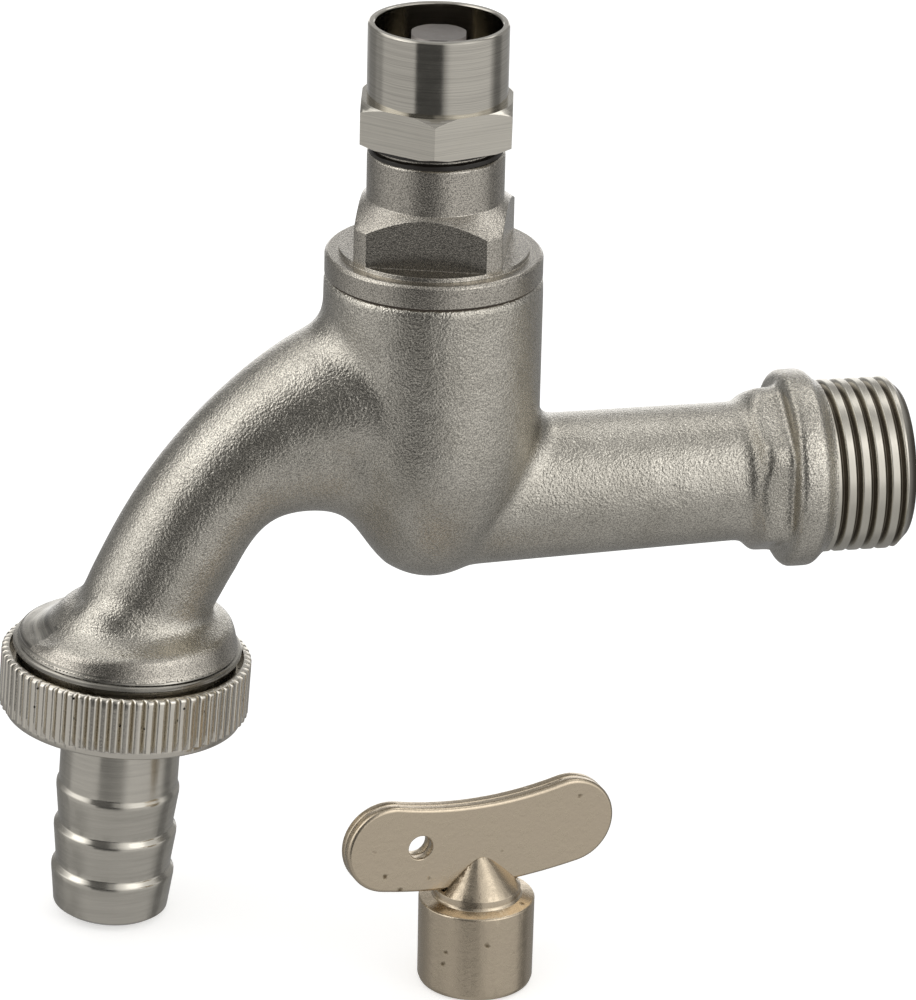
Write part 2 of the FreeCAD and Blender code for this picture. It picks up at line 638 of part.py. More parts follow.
# The key stands on the level of the tail's lowest point, in front of the tap.
key_socket = make_body("key_socket")
turned(key_socket, "key_socket_turning", [
    ("0 mm", "0 mm"),
    ("socket_end_d / 2 - 0.7", "0 mm"),
    ("socket_end_d / 2 - 0.2", "0.25"),
    ("socket_end_d / 2", "0.8"),
    ("socket_d / 2", "socket_len - 0.15"),
    ("socket_d / 2 - 0.15", "socket_len"),
    ("socket_ring_d / 2 + 0.2", "socket_len + 0.3"),
    ("socket_ring_d / 2", "socket_len + 0.6"),
    ("socket_ring_d / 2", "socket_ring_top"),
    ("cone_tip_d / 2", "cone_tip_z"),
    ("0 mm", "cone_tip_z"),
])
slot = make_sketch(key_socket, "plate_slot_outline", "XY", out="cone_tip_z + 1")
polygon(slot, [
    ("-socket_d", "-plate_t"),
    ("socket_d", "-plate_t"),
    ("socket_d", "plate_t"),
    ("-socket_d", "plate_t"),
])
pushed(key_socket, "plate_slot", slot, "cone_tip_z + 1 - wing_low", cut=True)
square = make_sketch(key_socket, "key_square_outline", "XY")
regular(square, 4, "square_across + 2 * fit_slide", "square_turn - key_turn + 45")
pushed(key_socket, "key_square", square, "socket_depth", cut=True, back=True)


def wing_plate(label, back):
    """One plate of the wing: two round ends, a hollow upper edge and a full lower edge."""
    body = make_body(label)
    sketch = make_sketch(body, label + "_outline", "XZ")
    end = values["lobe_d"] / 2
    reach, middle = values["lobe_x"], values["lobe_z"]
    rise = values["wing_high"] - middle
    fall = middle - values["wing_low"]
    top_r = (reach ** 2 + rise ** 2 - end ** 2) / (2 * (end - rise))
    low_r = (reach ** 2 + fall ** 2 - end ** 2) / (2 * (fall - end))
    top_up = values["wing_high"] + top_r
    low_up = values["wing_low"] + low_r
    touch_top = math.atan2(top_up - middle, reach)
    touch_low = math.atan2(low_up - middle, reach)
    arcs = [
        (0, top_up, top_r, -math.pi + touch_top, -touch_top),
        (reach, middle, end, -touch_low, math.pi - touch_top),
        (0, low_up, low_r, -math.pi + touch_low, -touch_low),
        (-reach, middle, end, touch_top, math.pi + touch_low),
    ]
    for side, up, radius, start, stop in arcs:
        sketch.addGeometry(Part.ArcOfCircle(Part.Circle(Vector(side, up, 0), Z_AXIS, radius), start, stop), False)
    for one, one_end, other, other_end in ((0, 2, 1, 2), (0, 1, 3, 1), (2, 2, 1, 1), (2, 1, 3, 2)):
        sketch.addConstraint(Sketcher.Constraint("Tangent", one, one_end, other, other_end))
    for number, side in ((1, "lobe_x"), (3, "-lobe_x")):
        hold(sketch, "DistanceX", (number, 3), reach if number == 1 else -reach, side)
        hold(sketch, "DistanceY", (number, 3), middle, "lobe_z")
        count = sketch.addConstraint(Sketcher.Constraint("Diameter", number, 2 * end))
        sketch.setExpression("Constraints[%d]" % count, sized("lobe_d"))
    rise_text, fall_text = "(wing_high - lobe_z)", "(lobe_z - wing_low)"
    for number, gap, sign in ((0, rise_text, 1), (2, fall_text, -1)):
        span = "(lobe_x * lobe_x + %s * %s - lobe_d * lobe_d / 4)" % (gap, gap)
        room = "(2 * (lobe_d / 2 - %s))" % gap if sign > 0 else "(2 * (%s - lobe_d / 2))" % gap
        count = sketch.addConstraint(Sketcher.Constraint("Radius", number, top_r if sign > 0 else low_r))
        sketch.setExpression("Constraints[%d]" % count, sized("%s / %s * 1 mm" % (span, room)))
    disc(sketch, "ring_hole_d", "-ring_hole_x", "lobe_z - 0.2")
    pushed(body, label + "_pad", sketch, "plate_t", back=back)
    side = values["plate_t"] * (1 if back else -1)
    eased(body, label + "_edge", "Chamfer", "plate_edge", lambda edge: abs(edge.BoundBox.YMin - side) < 1e-4
          and abs(edge.BoundBox.YMax - side) < 1e-4 and edge.BoundBox.XLength > values["ring_hole_d"] + 1)
    return body


key_plate_front = wing_plate("key_plate_front", False)
key_plate_back = wing_plate("key_plate_back", True)

lowest = "-nozzle_drop - tail_end * cos(nozzle_lean * 1 deg) - tail_end_d / 2 * sin(nozzle_lean * 1 deg)"
for body in (key_socket, key_plate_front, key_plate_back):
    place(body, "key_x", "key_y", lowest, turn="key_turn * 1 deg")

parts = [tap_body, bonnet, bonnet_gasket, spindle, packing_washer, packing_ring_lower, packing_ring_upper,
         gland_follower, sleeve_nut, jumper, valve_washer, valve_nut, union_nut, union_washer, hose_tail,
         key_socket, key_plate_front, key_plate_back]

doc.recompute()
for item in doc.Objects:
    if "Invalid" in item.State or "Error" in item.State:
        raise RuntimeError("%s: %s" % (item.Name, item.State))
for item in parts:
    if item.Shape.isNull() or not item.Shape.isValid() or len(item.Shape.Solids) != 1:
        raise RuntimeError(item.Label + " has no single valid solid")

os.makedirs("parts", exist_ok=True)
for item in parts:
    item.Shape.exportStep(os.path.join("parts", item.Label + ".step"))
    box = item.Shape.BoundBox
    print("%-20s %9.1f mm3  x %7.2f %7.2f  y %7.2f %7.2f  z %7.2f %7.2f" % (
        item.Label, item.Shape.Volume, box.XMin, box.XMax, box.YMin, box.YMax, box.ZMin, box.ZMax))
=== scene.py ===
"""Dresses a packed bib tap and its loose key: castings, threads, flutes, finishes, light and camera."""
import json
import math

import bmesh
import bpy
import numpy as np
from bpy.props import FloatProperty, FloatVectorProperty, IntProperty, PointerProperty, StringProperty
from mathutils import Matrix, Vector


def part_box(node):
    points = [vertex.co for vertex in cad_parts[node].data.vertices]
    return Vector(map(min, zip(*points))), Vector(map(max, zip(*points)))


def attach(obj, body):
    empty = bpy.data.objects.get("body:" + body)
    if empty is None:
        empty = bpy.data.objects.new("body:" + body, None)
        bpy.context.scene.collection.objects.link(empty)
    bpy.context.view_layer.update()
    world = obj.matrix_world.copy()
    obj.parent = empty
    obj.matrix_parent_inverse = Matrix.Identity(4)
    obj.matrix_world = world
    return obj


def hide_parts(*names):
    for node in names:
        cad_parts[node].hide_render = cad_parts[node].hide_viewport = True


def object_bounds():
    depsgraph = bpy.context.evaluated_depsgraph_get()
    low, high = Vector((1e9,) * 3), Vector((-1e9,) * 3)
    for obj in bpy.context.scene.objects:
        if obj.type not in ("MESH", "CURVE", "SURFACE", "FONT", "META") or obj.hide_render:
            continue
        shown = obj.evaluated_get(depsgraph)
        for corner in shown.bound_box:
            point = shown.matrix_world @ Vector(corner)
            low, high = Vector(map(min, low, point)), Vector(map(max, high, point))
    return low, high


bl_info = {
    "name": "Bib tap dresser",
    "version": (1, 0, 0),
    "blender": (4, 5, 0),
    "location": "3D View > Sidebar > Bib Tap",
    "description": "Gives a bib tap its cast skin, threads, flutes and metal finishes",
    "category": "Object",
}

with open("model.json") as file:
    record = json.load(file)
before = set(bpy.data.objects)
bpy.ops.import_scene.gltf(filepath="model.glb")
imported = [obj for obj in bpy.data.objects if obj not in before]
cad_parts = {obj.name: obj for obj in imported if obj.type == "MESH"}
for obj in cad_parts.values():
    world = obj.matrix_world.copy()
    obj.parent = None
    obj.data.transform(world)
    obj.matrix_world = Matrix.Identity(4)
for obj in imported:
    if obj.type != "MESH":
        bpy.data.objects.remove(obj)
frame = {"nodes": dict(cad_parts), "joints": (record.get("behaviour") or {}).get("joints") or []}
CAD_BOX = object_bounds()
NODES = frame["nodes"]
JOINTS = {joint["name"]: joint for joint in frame["joints"]}
MM = 0.001

# Places from the frame: the head's upright axis, and the outlet's leaning one with its origin in the union
# nut's top face. The inlet's axis is the frame's X axis.
HEAD = Matrix.Translation(Vector(JOINTS["spindle_turn"]["pos_m"]) * Vector((1, 1, 0)))
OUTLET_UP = -Vector(JOINTS["union_turn"]["axis"])
OUTLET_LEAN = math.atan2(OUTLET_UP.x, OUTLET_UP.z)
OUTLET = Matrix.Translation(JOINTS["union_turn"]["pos_m"]) @ Matrix.Rotation(OUTLET_LEAN, 4, "Y")
OUTLET_BACK = OUTLET.inverted()
INLET = Matrix.Rotation(math.pi / 2, 4, "Y")

# Places on the casting in millimetres: the foot of the barrel's rim and where easing spares it, where the
# collar and its face begin, and the height under which everything belongs to the nozzle.
RIM_FOOT = 25.2
RIM = 26.2
COLLAR = -6.2
COLLAR_FACE = -0.4
NOZZLE = -10.0
# Middle of the worn corner under the spout, where it leaves the barrel.
CROTCH = Vector((-62.3, 0, -2.0)) * MM
# The flare over the union nut: its inner and outer radius, and the cutter's path over it: the middle, half
# the width and the softness of its ends, in degrees round the outlet.
FLARE_INNER = 7.8
FLARE_OUTER = 14.0
CUT_WAY = 142
CUT_HALF = 58
CUT_SOFT = 34


def length(name, description, millimetres):
    """A size in metres whose default is written in millimetres."""
    return FloatProperty(name=name, description=description, default=millimetres * MM, min=0.0,
                         precision=5, subtype="DISTANCE", unit="LENGTH")


def angle(name, description, degrees):
    """An angle whose default is written in degrees."""
    return FloatProperty(name=name, description=description, default=math.radians(degrees),
                         subtype="ANGLE", unit="ROTATION")


def count(name, description, number, least=0):
    """A whole number of things or rounds."""
    return IntProperty(name=name, description=description, default=number, min=least)


def colour(name, description, code):
    """A colour as an sRGB hex code."""
    return StringProperty(name=name, description=description, default=code)


class CastingSizes(bpy.types.PropertyGroup):
    """Sizes of the cast and blasted skin."""
    voxel: length("Skin grid", "Spacing of the skin's mesh on the tap body", 0.36)
    gasket_line: length("Gasket line", "Dark line that the gasket leaves in view", 0.14)
    easing: count("Easing", "Rounds of easing that wear the casting's edges", 12)
    worn_easing: count("Worn easing", "More rounds where the spout meets barrel and nozzle", 420)


class ThreadSizes(bpy.types.PropertyGroup):
    """Sizes of the inlet thread and the fine thread under the sleeve nut."""
    radius: length("Pipe radius", "Crest radius of the half-inch parallel pipe thread", 10.4775)
    pitch: length("Pipe pitch", "Pitch of the half-inch parallel pipe thread", 1.814)
    depth: length("Pipe thread depth", "Crest to root of the pipe thread", 0.85)
    first_crest: length("First crest", "First crest beyond the collar's face, seen from the front", 0.6)
    bevel: length("End bevel", "Height of the bevel on the inlet's end", 1.3)
    fine_radius: length("Fine radius", "Crest radius of the thread under the sleeve nut", 7.95)
    fine_pitch: length("Fine pitch", "Pitch of the thread under the sleeve nut", 1.0)
    fine_depth: length("Fine depth", "Crest to root of the fine thread", 0.55)
    fine_low: length("Fine start", "Height of the fine thread's lower end", 42.6)
    fine_crest: length("Fine crest", "Height of one of its crests, seen from the front", 43.3)
    fine_high: length("Fine end", "Height of its upper end, inside the sleeve nut", 44.8)


class UnionSizes(bpy.types.PropertyGroup):
    """Sizes of the fluted union nut."""
    radius: length("Nut radius", "Radius over the flutes", 15.0)
    bore: length("Nut bore", "Radius inside the nut", 13.3)
    height: length("Nut height", "Height of the nut", 7.9)
    tail_hole: length("Tail hole", "Radius of the hole round the hose tail", 7.6)
    flutes: count("Flutes", "Flutes round the nut", 68, 12)
    flute_depth: length("Flute depth", "Ridge to valley", 0.64)
    flute_start: length("Flute start", "Rounded top end of each ridge", 0.45)
    flute_end: length("Flute end", "Plain rim under the flutes", 0.95)


class EdgeSizes(bpy.types.PropertyGroup):
    """Roundings on the edges of the turned and stamped pieces."""
    bonnet: length("Bonnet", "Rounding of the bonnet's edges", 0.22)
    sleeve_nut: length("Sleeve nut", "Rounding of the sleeve nut's edges", 0.12)
    hose_tail: length("Hose tail", "Rounding of the barbs", 0.14)
    key_socket: length("Key socket", "Rounding of the key's turned foot", 0.3)
    key_plate: length("Key plate", "Rounding of the key's stamped plates", 0.14)


class Finishes(bpy.types.PropertyGroup):
    """Colours of the metals, the rubber and the packings."""
    nickel: colour("Nickel", "Bright nickel plate", "#CEC9BE")
    hollow_nickel: colour("Hollow nickel", "Blasted nickel in its hollows", "#B2ADA2")
    block_nickel: colour("Block nickel", "Nickel on the bonnet's machined block", "#C4BEB3")
    fluted_nickel: colour("Fluted nickel", "Tumbled nickel of the union nut", "#E2DCD0")
    pinhole: colour("Pinhole", "Small casting faults in the union nut", "#312C27")
    # The pipe thread's crest colour is a painted highlight, and its root colour is painted shade.
    crest_highlight: colour("Thread crest", "Rubbed crests of the pipe thread", "#D4CFC3")
    root_shade: colour("Thread root", "Oily roots of the pipe thread", "#6F685D")
    # The spindle's grey is painted shade, dark as its end sits deep in the sleeve.
    spindle_shade_grey: colour("Dull nickel", "Grey plate on the spindle's end", "#8B8580")
    # The neck thread's colour is painted shade, dark as the gap under the sleeve nut.
    neck_gap_shade: colour("Grease", "Dark grease in the neck's thread", "#2B2620")
    key_nickel: colour("Key nickel", "Yellowish nickel of the key", "#D0C1AA")
    key_pit: colour("Key pit", "Brown pits in the key's plate", "#7C6C54")
    brass: colour("Brass", "Plain machined brass", "#C9A765")
    dark_brass: colour("Dark brass", "Brass in the hollows of its tool rings", "#B08A48")
    rubber: colour("Rubber", "Black rubber washers", "#232323")
    fibre: colour("Fibre", "Brown fibre gasket", "#4A4038")
    packing: colour("Packing", "White packing rings", "#E8E6E0")


class StageSizes(bpy.types.PropertyGroup):
    """Camera, lamps and floor."""
    azimuth: angle("Azimuth", "Camera's turn round the tap", -12.0)
    elevation: angle("Elevation", "Camera above the horizon", 22.6)
    roll: angle("Roll", "Camera's tilt about its own axis", 1.39)
    distance: length("Distance", "Camera to the middle of the view", 634.1)
    lens: FloatProperty(name="Lens", description="Focal length", default=207.56, subtype="DISTANCE_CAMERA")
    target: FloatVectorProperty(name="Target", description="Middle of the view",
                                default=(-0.0442, 0.0, -0.00182), subtype="XYZ", unit="LENGTH")
    floor: colour("Floor", "Pale floor", "#F4F4F3")
    floor_glow: FloatProperty(name="Floor glow", description="Whitens the floor for the camera", default=0.52)
    world_glow: FloatProperty(name="World glow", description="Even light on all that isn't metal",
                              default=0.65)


def sizes(group):
    """One of this file's property groups on the scene."""
    return getattr(bpy.context.scene, group)


def linear(code):
    """Scene-linear colour of an sRGB hex code."""
    parts = [int(code[i:i + 2], 16) / 255 for i in (1, 3, 5)]
    return tuple(p / 12.92 if p <= 0.04045 else ((p + 0.055) / 1.055) ** 2.4 for p in parts) + (1.0,)


def density(number, stretch):
    """Texture scale that puts a number of features on a stretch of so many millimetres."""
    return number / stretch


# Sockets of a node that mixes two colours: first colour, second colour and result.
FIRST = 6
SECOND = 7
MIXED = 2


def add(tree, kind, inputs=None, **settings):
    """Adds a node. An input takes a value or the socket that feeds it."""
    node = tree.nodes.new(kind)
    for name, value in settings.items():
        setattr(node, name, value)
    for name, value in (inputs or {}).items():
        if isinstance(value, bpy.types.NodeSocket):
            tree.links.new(value, node.inputs[name])
        else:
            node.inputs[name].default_value = value
    return node


def new_material(name, metallic=0.0):
    """Empty node material with a surface shader and coordinates in millimetres."""
    material = bpy.data.materials.new(name)
    material.use_nodes = True
    tree = material.node_tree
    tree.nodes.clear()
    shader = add(tree, "ShaderNodeBsdfPrincipled")
    shader.inputs["Metallic"].default_value = metallic
    add(tree, "ShaderNodeOutputMaterial", {"Surface": shader.outputs["BSDF"]})
    place = add(tree, "ShaderNodeTexCoord")
    scaled = add(tree, "ShaderNodeMapping", {"Vector": place.outputs["Object"], "Scale": (1 / MM,) * 3})
    return material, tree, shader, scaled.outputs["Vector"]


def feed(tree, shader, tint, rough, bump):
    """Links tint, roughness and bump to the shader. Roughness may be a plain value."""
    tree.links.new(tint, shader.inputs["Base Color"])
    tree.links.new(bump.outputs["Normal"], shader.inputs["Normal"])
    if isinstance(rough, float):
        shader.inputs["Roughness"].default_value = rough
    else:
        tree.links.new(rough.outputs["Result"], shader.inputs["Roughness"])


def blasted_nickel():
    """Nickel plate over cast, shot-blasted brass: a lively grain that sparkles at the edge of the light."""
    material, tree, shader, place = new_material("blasted_nickel", 1.0)
    colours = sizes("tap_finishes")
    # The shot's dents and grit are drawn coarser than real ones, as coarse as they need to be to show.
    dents = add(tree, "ShaderNodeTexVoronoi", {"Vector": place, "Scale": density(17, 5)}, feature="SMOOTH_F1")
    grains = add(tree, "ShaderNodeTexNoise",
                 {"Vector": place, "Scale": density(11, 2), "Detail": 2.0, "Roughness": 0.6})
    height = add(tree, "ShaderNodeMath", {0: dents.outputs["Distance"], 1: grains.outputs["Fac"]},
                 operation="ADD")
    waves = add(tree, "ShaderNodeTexNoise", {"Vector": place, "Scale": density(7, 20), "Detail": 2.0})
    broad = add(tree, "ShaderNodeBump",
                {"Height": waves.outputs["Fac"], "Strength": 0.25, "Distance": 0.4 * MM})
    bump = add(tree, "ShaderNodeBump",
               {"Height": height.outputs["Value"], "Strength": 1.0, "Distance": 0.055 * MM,
                "Normal": broad.outputs["Normal"]})
    blotches = add(tree, "ShaderNodeTexNoise", {"Vector": place, "Scale": density(4, 25), "Detail": 4.0})
    spread = add(tree, "ShaderNodeMapRange",
                 {"Value": blotches.outputs["Fac"], "From Min": 0.35, "From Max": 0.7,
                  "To Min": 0.2, "To Max": 0.8})
    tint = add(tree, "ShaderNodeMix",
               {"Factor": spread.outputs["Result"], FIRST: linear(colours.nickel),
                SECOND: linear(colours.hollow_nickel)}, data_type="RGBA")
    flecks = add(tree, "ShaderNodeTexNoise", {"Vector": place, "Scale": density(7, 1), "Detail": 1.0})
    dusk = add(tree, "ShaderNodeMapRange",
               {"Value": flecks.outputs["Fac"], "From Min": 0.3, "From Max": 0.62,
                "To Min": 0.54, "To Max": 1.3})
    mottled = add(tree, "ShaderNodeVectorMath", {0: tint.outputs[MIXED], "Scale": dusk.outputs["Result"]},
                  operation="SCALE")
    rough = add(tree, "ShaderNodeMapRange",
                {"Value": grains.outputs["Fac"], "From Min": 0.3, "From Max": 0.7,
                 "To Min": 0.22, "To Max": 0.15})
    feed(tree, shader, mottled.outputs["Vector"], rough, bump)
    return material


def turned_nickel(name="turned_nickel", ring=0.13, roughness=0.12, depth=0.007, dark=0.8, bright=1.06):
    """Nickel plate over turned brass: a mirror with tool rings, which smear reflections along the axis.

    ring and depth are millimetres; dark and bright bound the plate's brightness from ring to ring.
    """
    material, tree, shader, place = new_material(name, 1.0)
    colours = sizes("tap_finishes")
    # A real fine feed leaves closer rings. They are spread until they show, and run some 17 mm round.
    run = density(3, 50)
    spun = add(tree, "ShaderNodeMapping", {"Vector": place, "Scale": (run, run, density(1, ring))})
    rings = add(tree, "ShaderNodeTexNoise",
                {"Vector": spun.outputs["Vector"], "Scale": 1.0, "Detail": 3.0, "Roughness": 0.7})
    dusk = add(tree, "ShaderNodeMapRange",
               {"Value": rings.outputs["Fac"], "From Min": 0.32, "From Max": 0.6,
                "To Min": dark, "To Max": bright})
    tint = add(tree, "ShaderNodeVectorMath",
               {0: linear(colours.nickel)[:3], "Scale": dusk.outputs["Result"]}, operation="SCALE")
    bump = add(tree, "ShaderNodeBump",
               {"Height": rings.outputs["Fac"], "Strength": 0.8, "Distance": depth * MM})
    smears = add(tree, "ShaderNodeTexNoise", {"Vector": place, "Scale": density(1, 2), "Detail": 3.0})
    rough = add(tree, "ShaderNodeMapRange",
                {"Value": smears.outputs["Fac"], "From Min": 0.3, "From Max": 0.7,
                 "To Min": roughness * 0.8, "To Max": roughness * 1.3})
    feed(tree, shader, tint.outputs["Vector"], rough, bump)
    return material


def tumbled_nickel():
    """Nickel plate over a cast and tumbled nut: soft satin with a few dark pinholes."""
    material, tree, shader, place = new_material("tumbled_nickel", 1.0)
    colours = sizes("tap_finishes")
    grains = add(tree, "ShaderNodeTexNoise", {"Vector": place, "Scale": density(4, 1), "Detail": 3.0})
    pinholes = add(tree, "ShaderNodeTexVoronoi", {"Vector": place, "Scale": density(9, 20)})
    pit = add(tree, "ShaderNodeMapRange",
              {"Value": pinholes.outputs["Distance"], "From Min": 0.05, "From Max": 0.09,
               "To Min": 0.0, "To Max": 1.0})
    tint = add(tree, "ShaderNodeMix",
               {"Factor": pit.outputs["Result"], FIRST: linear(colours.pinhole),
                SECOND: linear(colours.fluted_nickel)}, data_type="RGBA")
    bump = add(tree, "ShaderNodeBump",
               {"Height": grains.outputs["Fac"], "Strength": 0.3, "Distance": 0.03 * MM})
    rough = add(tree, "ShaderNodeMapRange", {"Value": grains.outputs["Fac"], "To Min": 0.14, "To Max": 0.26})
    feed(tree, shader, tint.outputs[MIXED], rough, bump)
    return material


def key_nickel():
    """Old nickel plate on the key: warmer and a little duller than the tap's, with small ragged pits."""
    material, tree, shader, place = new_material("key_nickel", 1.0)
    colours = sizes("tap_finishes")
    drift = add(tree, "ShaderNodeTexNoise", {"Vector": place, "Scale": density(5, 2), "Detail": 2.0})
    pits = add(tree, "ShaderNodeTexVoronoi", {"Vector": place, "Scale": density(3, 10)})
    ragged = add(tree, "ShaderNodeMath", {0: drift.outputs["Fac"], 1: 0.16, 2: pits.outputs["Distance"]},
                 operation="MULTIPLY_ADD")
    hole = add(tree, "ShaderNodeMapRange",
               {"Value": ragged.outputs["Value"], "From Min": 0.11, "From Max": 0.2,
                "To Min": 0.0, "To Max": 1.0})
    waves = add(tree, "ShaderNodeTexNoise",
                {"Vector": place, "Scale": density(11, 10), "Detail": 5.0, "Roughness": 0.7})
    height = add(tree, "ShaderNodeMath", {0: hole.outputs["Result"], 1: waves.outputs["Fac"]},
                 operation="ADD")
    bump = add(tree, "ShaderNodeBump",
               {"Height": height.outputs["Value"], "Strength": 0.7, "Distance": 0.05 * MM})
    tint = add(tree, "ShaderNodeMix",
               {"Factor": hole.outputs["Result"], FIRST: linear(colours.key_pit),
                SECOND: linear(colours.key_nickel)}, data_type="RGBA")
    rough = add(tree, "ShaderNodeMapRange",
                {"Value": waves.outputs["Fac"], "From Min": 0.3, "From Max": 0.7,
                 "To Min": 0.18, "To Max": 0.3})
    feed(tree, shader, tint.outputs[MIXED], rough, bump)
    return material


def threaded_nickel():
    """Nickel plate on the cut pipe thread: painted highlight on the crests, painted shade on the flanks and
    roots.
    """
    material, tree, shader, place = new_material("threaded_nickel", 1.0)
    colours = sizes("tap_finishes")
    # Radii over which the painted shade of the roots turns into the painted highlight of the crests.
    dark_radius, bright_radius = 9.7, 10.3
    apart = add(tree, "ShaderNodeSeparateXYZ", {"Vector": place})
    across = add(tree, "ShaderNodeCombineXYZ", {"Y": apart.outputs["Y"], "Z": apart.outputs["Z"]})
    radius = add(tree, "ShaderNodeVectorMath", {0: across.outputs["Vector"]}, operation="LENGTH")
    share = add(tree, "ShaderNodeMapRange",
                {"Value": radius.outputs["Value"], "From Min": dark_radius, "From Max": bright_radius})
    noise = add(tree, "ShaderNodeTexNoise", {"Vector": place, "Scale": density(8, 5), "Detail": 3.0})
    tint = add(tree, "ShaderNodeMix",
               {"Factor": share.outputs["Result"], FIRST: linear(colours.root_shade),
                SECOND: linear(colours.crest_highlight)}, data_type="RGBA")
    bump = add(tree, "ShaderNodeBump",
               {"Height": noise.outputs["Fac"], "Strength": 0.4, "Distance": 0.02 * MM})
    feed(tree, shader, tint.outputs[MIXED], 0.27, bump)
    return material


def block_nickel():
    """Nickel plate over a machined, lightly blasted block: darker than the casting, with a finer grain."""
    material, tree, shader, place = new_material("block_nickel", 1.0)
    colours = sizes("tap_finishes")
    grains = add(tree, "ShaderNodeTexNoise", {"Vector": place, "Scale": density(6, 1), "Detail": 2.0})
    flecks = add(tree, "ShaderNodeTexNoise", {"Vector": place, "Scale": density(7, 1), "Detail": 1.0})
    dusk = add(tree, "ShaderNodeMapRange",
               {"Value": flecks.outputs["Fac"], "From Min": 0.3, "From Max": 0.62,
                "To Min": 0.4, "To Max": 1.15})
    tint = add(tree, "ShaderNodeVectorMath",
               {0: linear(colours.block_nickel)[:3], "Scale": dusk.outputs["Result"]}, operation="SCALE")
    bump = add(tree, "ShaderNodeBump",
               {"Height": grains.outputs["Fac"], "Strength": 0.8, "Distance": 0.05 * MM})
    rough = add(tree, "ShaderNodeMapRange",
                {"Value": grains.outputs["Fac"], "From Min": 0.3, "From Max": 0.7,
                 "To Min": 0.26, "To Max": 0.18})
    feed(tree, shader, tint.outputs["Vector"], rough, bump)
    return material


def shaded_spindle_nickel():
    """Painted shade on the spindle's end, deep in the sleeve: an even dark grey with soft smears."""
    material, tree, shader, place = new_material("shaded_spindle_nickel", 1.0)
    shader.inputs["Base Color"].default_value = linear(sizes("tap_finishes").spindle_shade_grey)
    smears = add(tree, "ShaderNodeTexNoise", {"Vector": place, "Scale": density(6, 5), "Detail": 4.0})
    rough = add(tree, "ShaderNodeMapRange", {"Value": smears.outputs["Fac"], "To Min": 0.25, "To Max": 0.5})
    tree.links.new(rough.outputs["Result"], shader.inputs["Roughness"])
    return material


def turned_brass():
    """Unplated brass turned from bar: yellow, with tool rings."""
    material, tree, shader, place = new_material("turned_brass", 1.0)
    colours = sizes("tap_finishes")
    run = density(1, 10)
    spun = add(tree, "ShaderNodeMapping", {"Vector": place, "Scale": (run, run, density(6, 1))})
    rings = add(tree, "ShaderNodeTexNoise", {"Vector": spun.outputs["Vector"], "Scale": 1.0, "Detail": 3.0})
    tint = add(tree, "ShaderNodeMix",
               {"Factor": rings.outputs["Fac"], FIRST: linear(colours.brass),
                SECOND: linear(colours.dark_brass)}, data_type="RGBA")
    bump = add(tree, "ShaderNodeBump",
               {"Height": rings.outputs["Fac"], "Strength": 0.4, "Distance": 0.01 * MM})
    feed(tree, shader, tint.outputs[MIXED], 0.28, bump)
    return material


def soft_stuff(name, code, roughness, grain):
    """What isn't metal: rubber, fibre, packing, and the painted shade on the neck's thread, told apart by
    colour, sheen and grain in mm.
    """
    material, tree, shader, place = new_material(name)
    noise = add(tree, "ShaderNodeTexNoise", {"Vector": place, "Scale": density(1, grain), "Detail": 4.0})
    deep = tuple(part * 0.6 for part in linear(code)[:3]) + (1.0,)
    shade = add(tree, "ShaderNodeMix",
                {"Factor": noise.outputs["Fac"], FIRST: linear(code), SECOND: deep}, data_type="RGBA")
    bump = add(tree, "ShaderNodeBump",
               {"Height": noise.outputs["Fac"], "Strength": 0.5, "Distance": 0.05 * MM})
    feed(tree, shader, shade.outputs[MIXED], roughness, bump)
    return material


def keep(make):
    """A material maker that makes its material once."""
    made = []

    def once():
        if not made:
            made.append(make())
        return made[0]
    return once


BLASTED = keep(blasted_nickel)
TURNED = keep(turned_nickel)
# The tail was polished after turning: broad faint rings.
POLISHED = keep(lambda: turned_nickel("polished_nickel", 0.9, 0.19, 0.006, 0.92))
# A facing cut on the outlet's ring: duller and streakier.
FACED = keep(lambda: turned_nickel("faced_nickel", 0.2, 0.24, 0.007, 0.32, 0.8))
# Brushing on the hexagon's flats blurs their reflections.
BRUSHED = keep(lambda: turned_nickel("brushed_nickel", 0.12, 0.36, 0.007, 0.84))
TUMBLED = keep(tumbled_nickel)
THREADED = keep(threaded_nickel)
BLOCK = keep(block_nickel)
SHADED_SPINDLE = keep(shaded_spindle_nickel)
KEY = keep(key_nickel)
BRASS = keep(turned_brass)
# The neck's thread is painted dark as the shade in its gap, with a wet sheen; rubber nearly black and half
# matt, fibre dull brown, packing soft white.
NECK_GAP_SHADED = keep(lambda: soft_stuff("shaded_neck_thread", sizes("tap_finishes").neck_gap_shade, 0.35, 0.4))
RUBBER = keep(lambda: soft_stuff("black_rubber", sizes("tap_finishes").rubber, 0.55, 0.4))
FIBRE = keep(lambda: soft_stuff("fibre_gasket", sizes("tap_finishes").fibre, 0.85, 0.3))
PACKING = keep(lambda: soft_stuff("packing_cord", sizes("tap_finishes").packing, 0.6, 0.5))


def finish(obj, material):
    """Gives an object one material."""
    obj.data.materials.clear()
    obj.data.materials.append(material)
    return obj


def piece(name, mesh, body, stands_for, material, smooth):
    """New visible piece from a mesh that already lies in the frame, smooth up to an angle in degrees."""
    mesh.polygons.foreach_set("use_smooth", [True] * len(mesh.polygons))
    mesh.set_sharp_from_angle(angle=math.radians(smooth))
    obj = bpy.data.objects.new(name, mesh)
    bpy.context.scene.collection.objects.link(obj)
    finish(obj, material)
    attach(obj, body)
    if stands_for:
        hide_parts(*stands_for)
    return obj


def eased(value):
    """0 to 1 on a soft step."""
    value = min(1.0, max(0.0, value))
    return value * value * (3 - 2 * value)


def at_outlet(spot):
    """A point in millimetres about the outlet's axis, with heights from the union nut's top face."""
    return OUTLET_BACK @ spot / MM


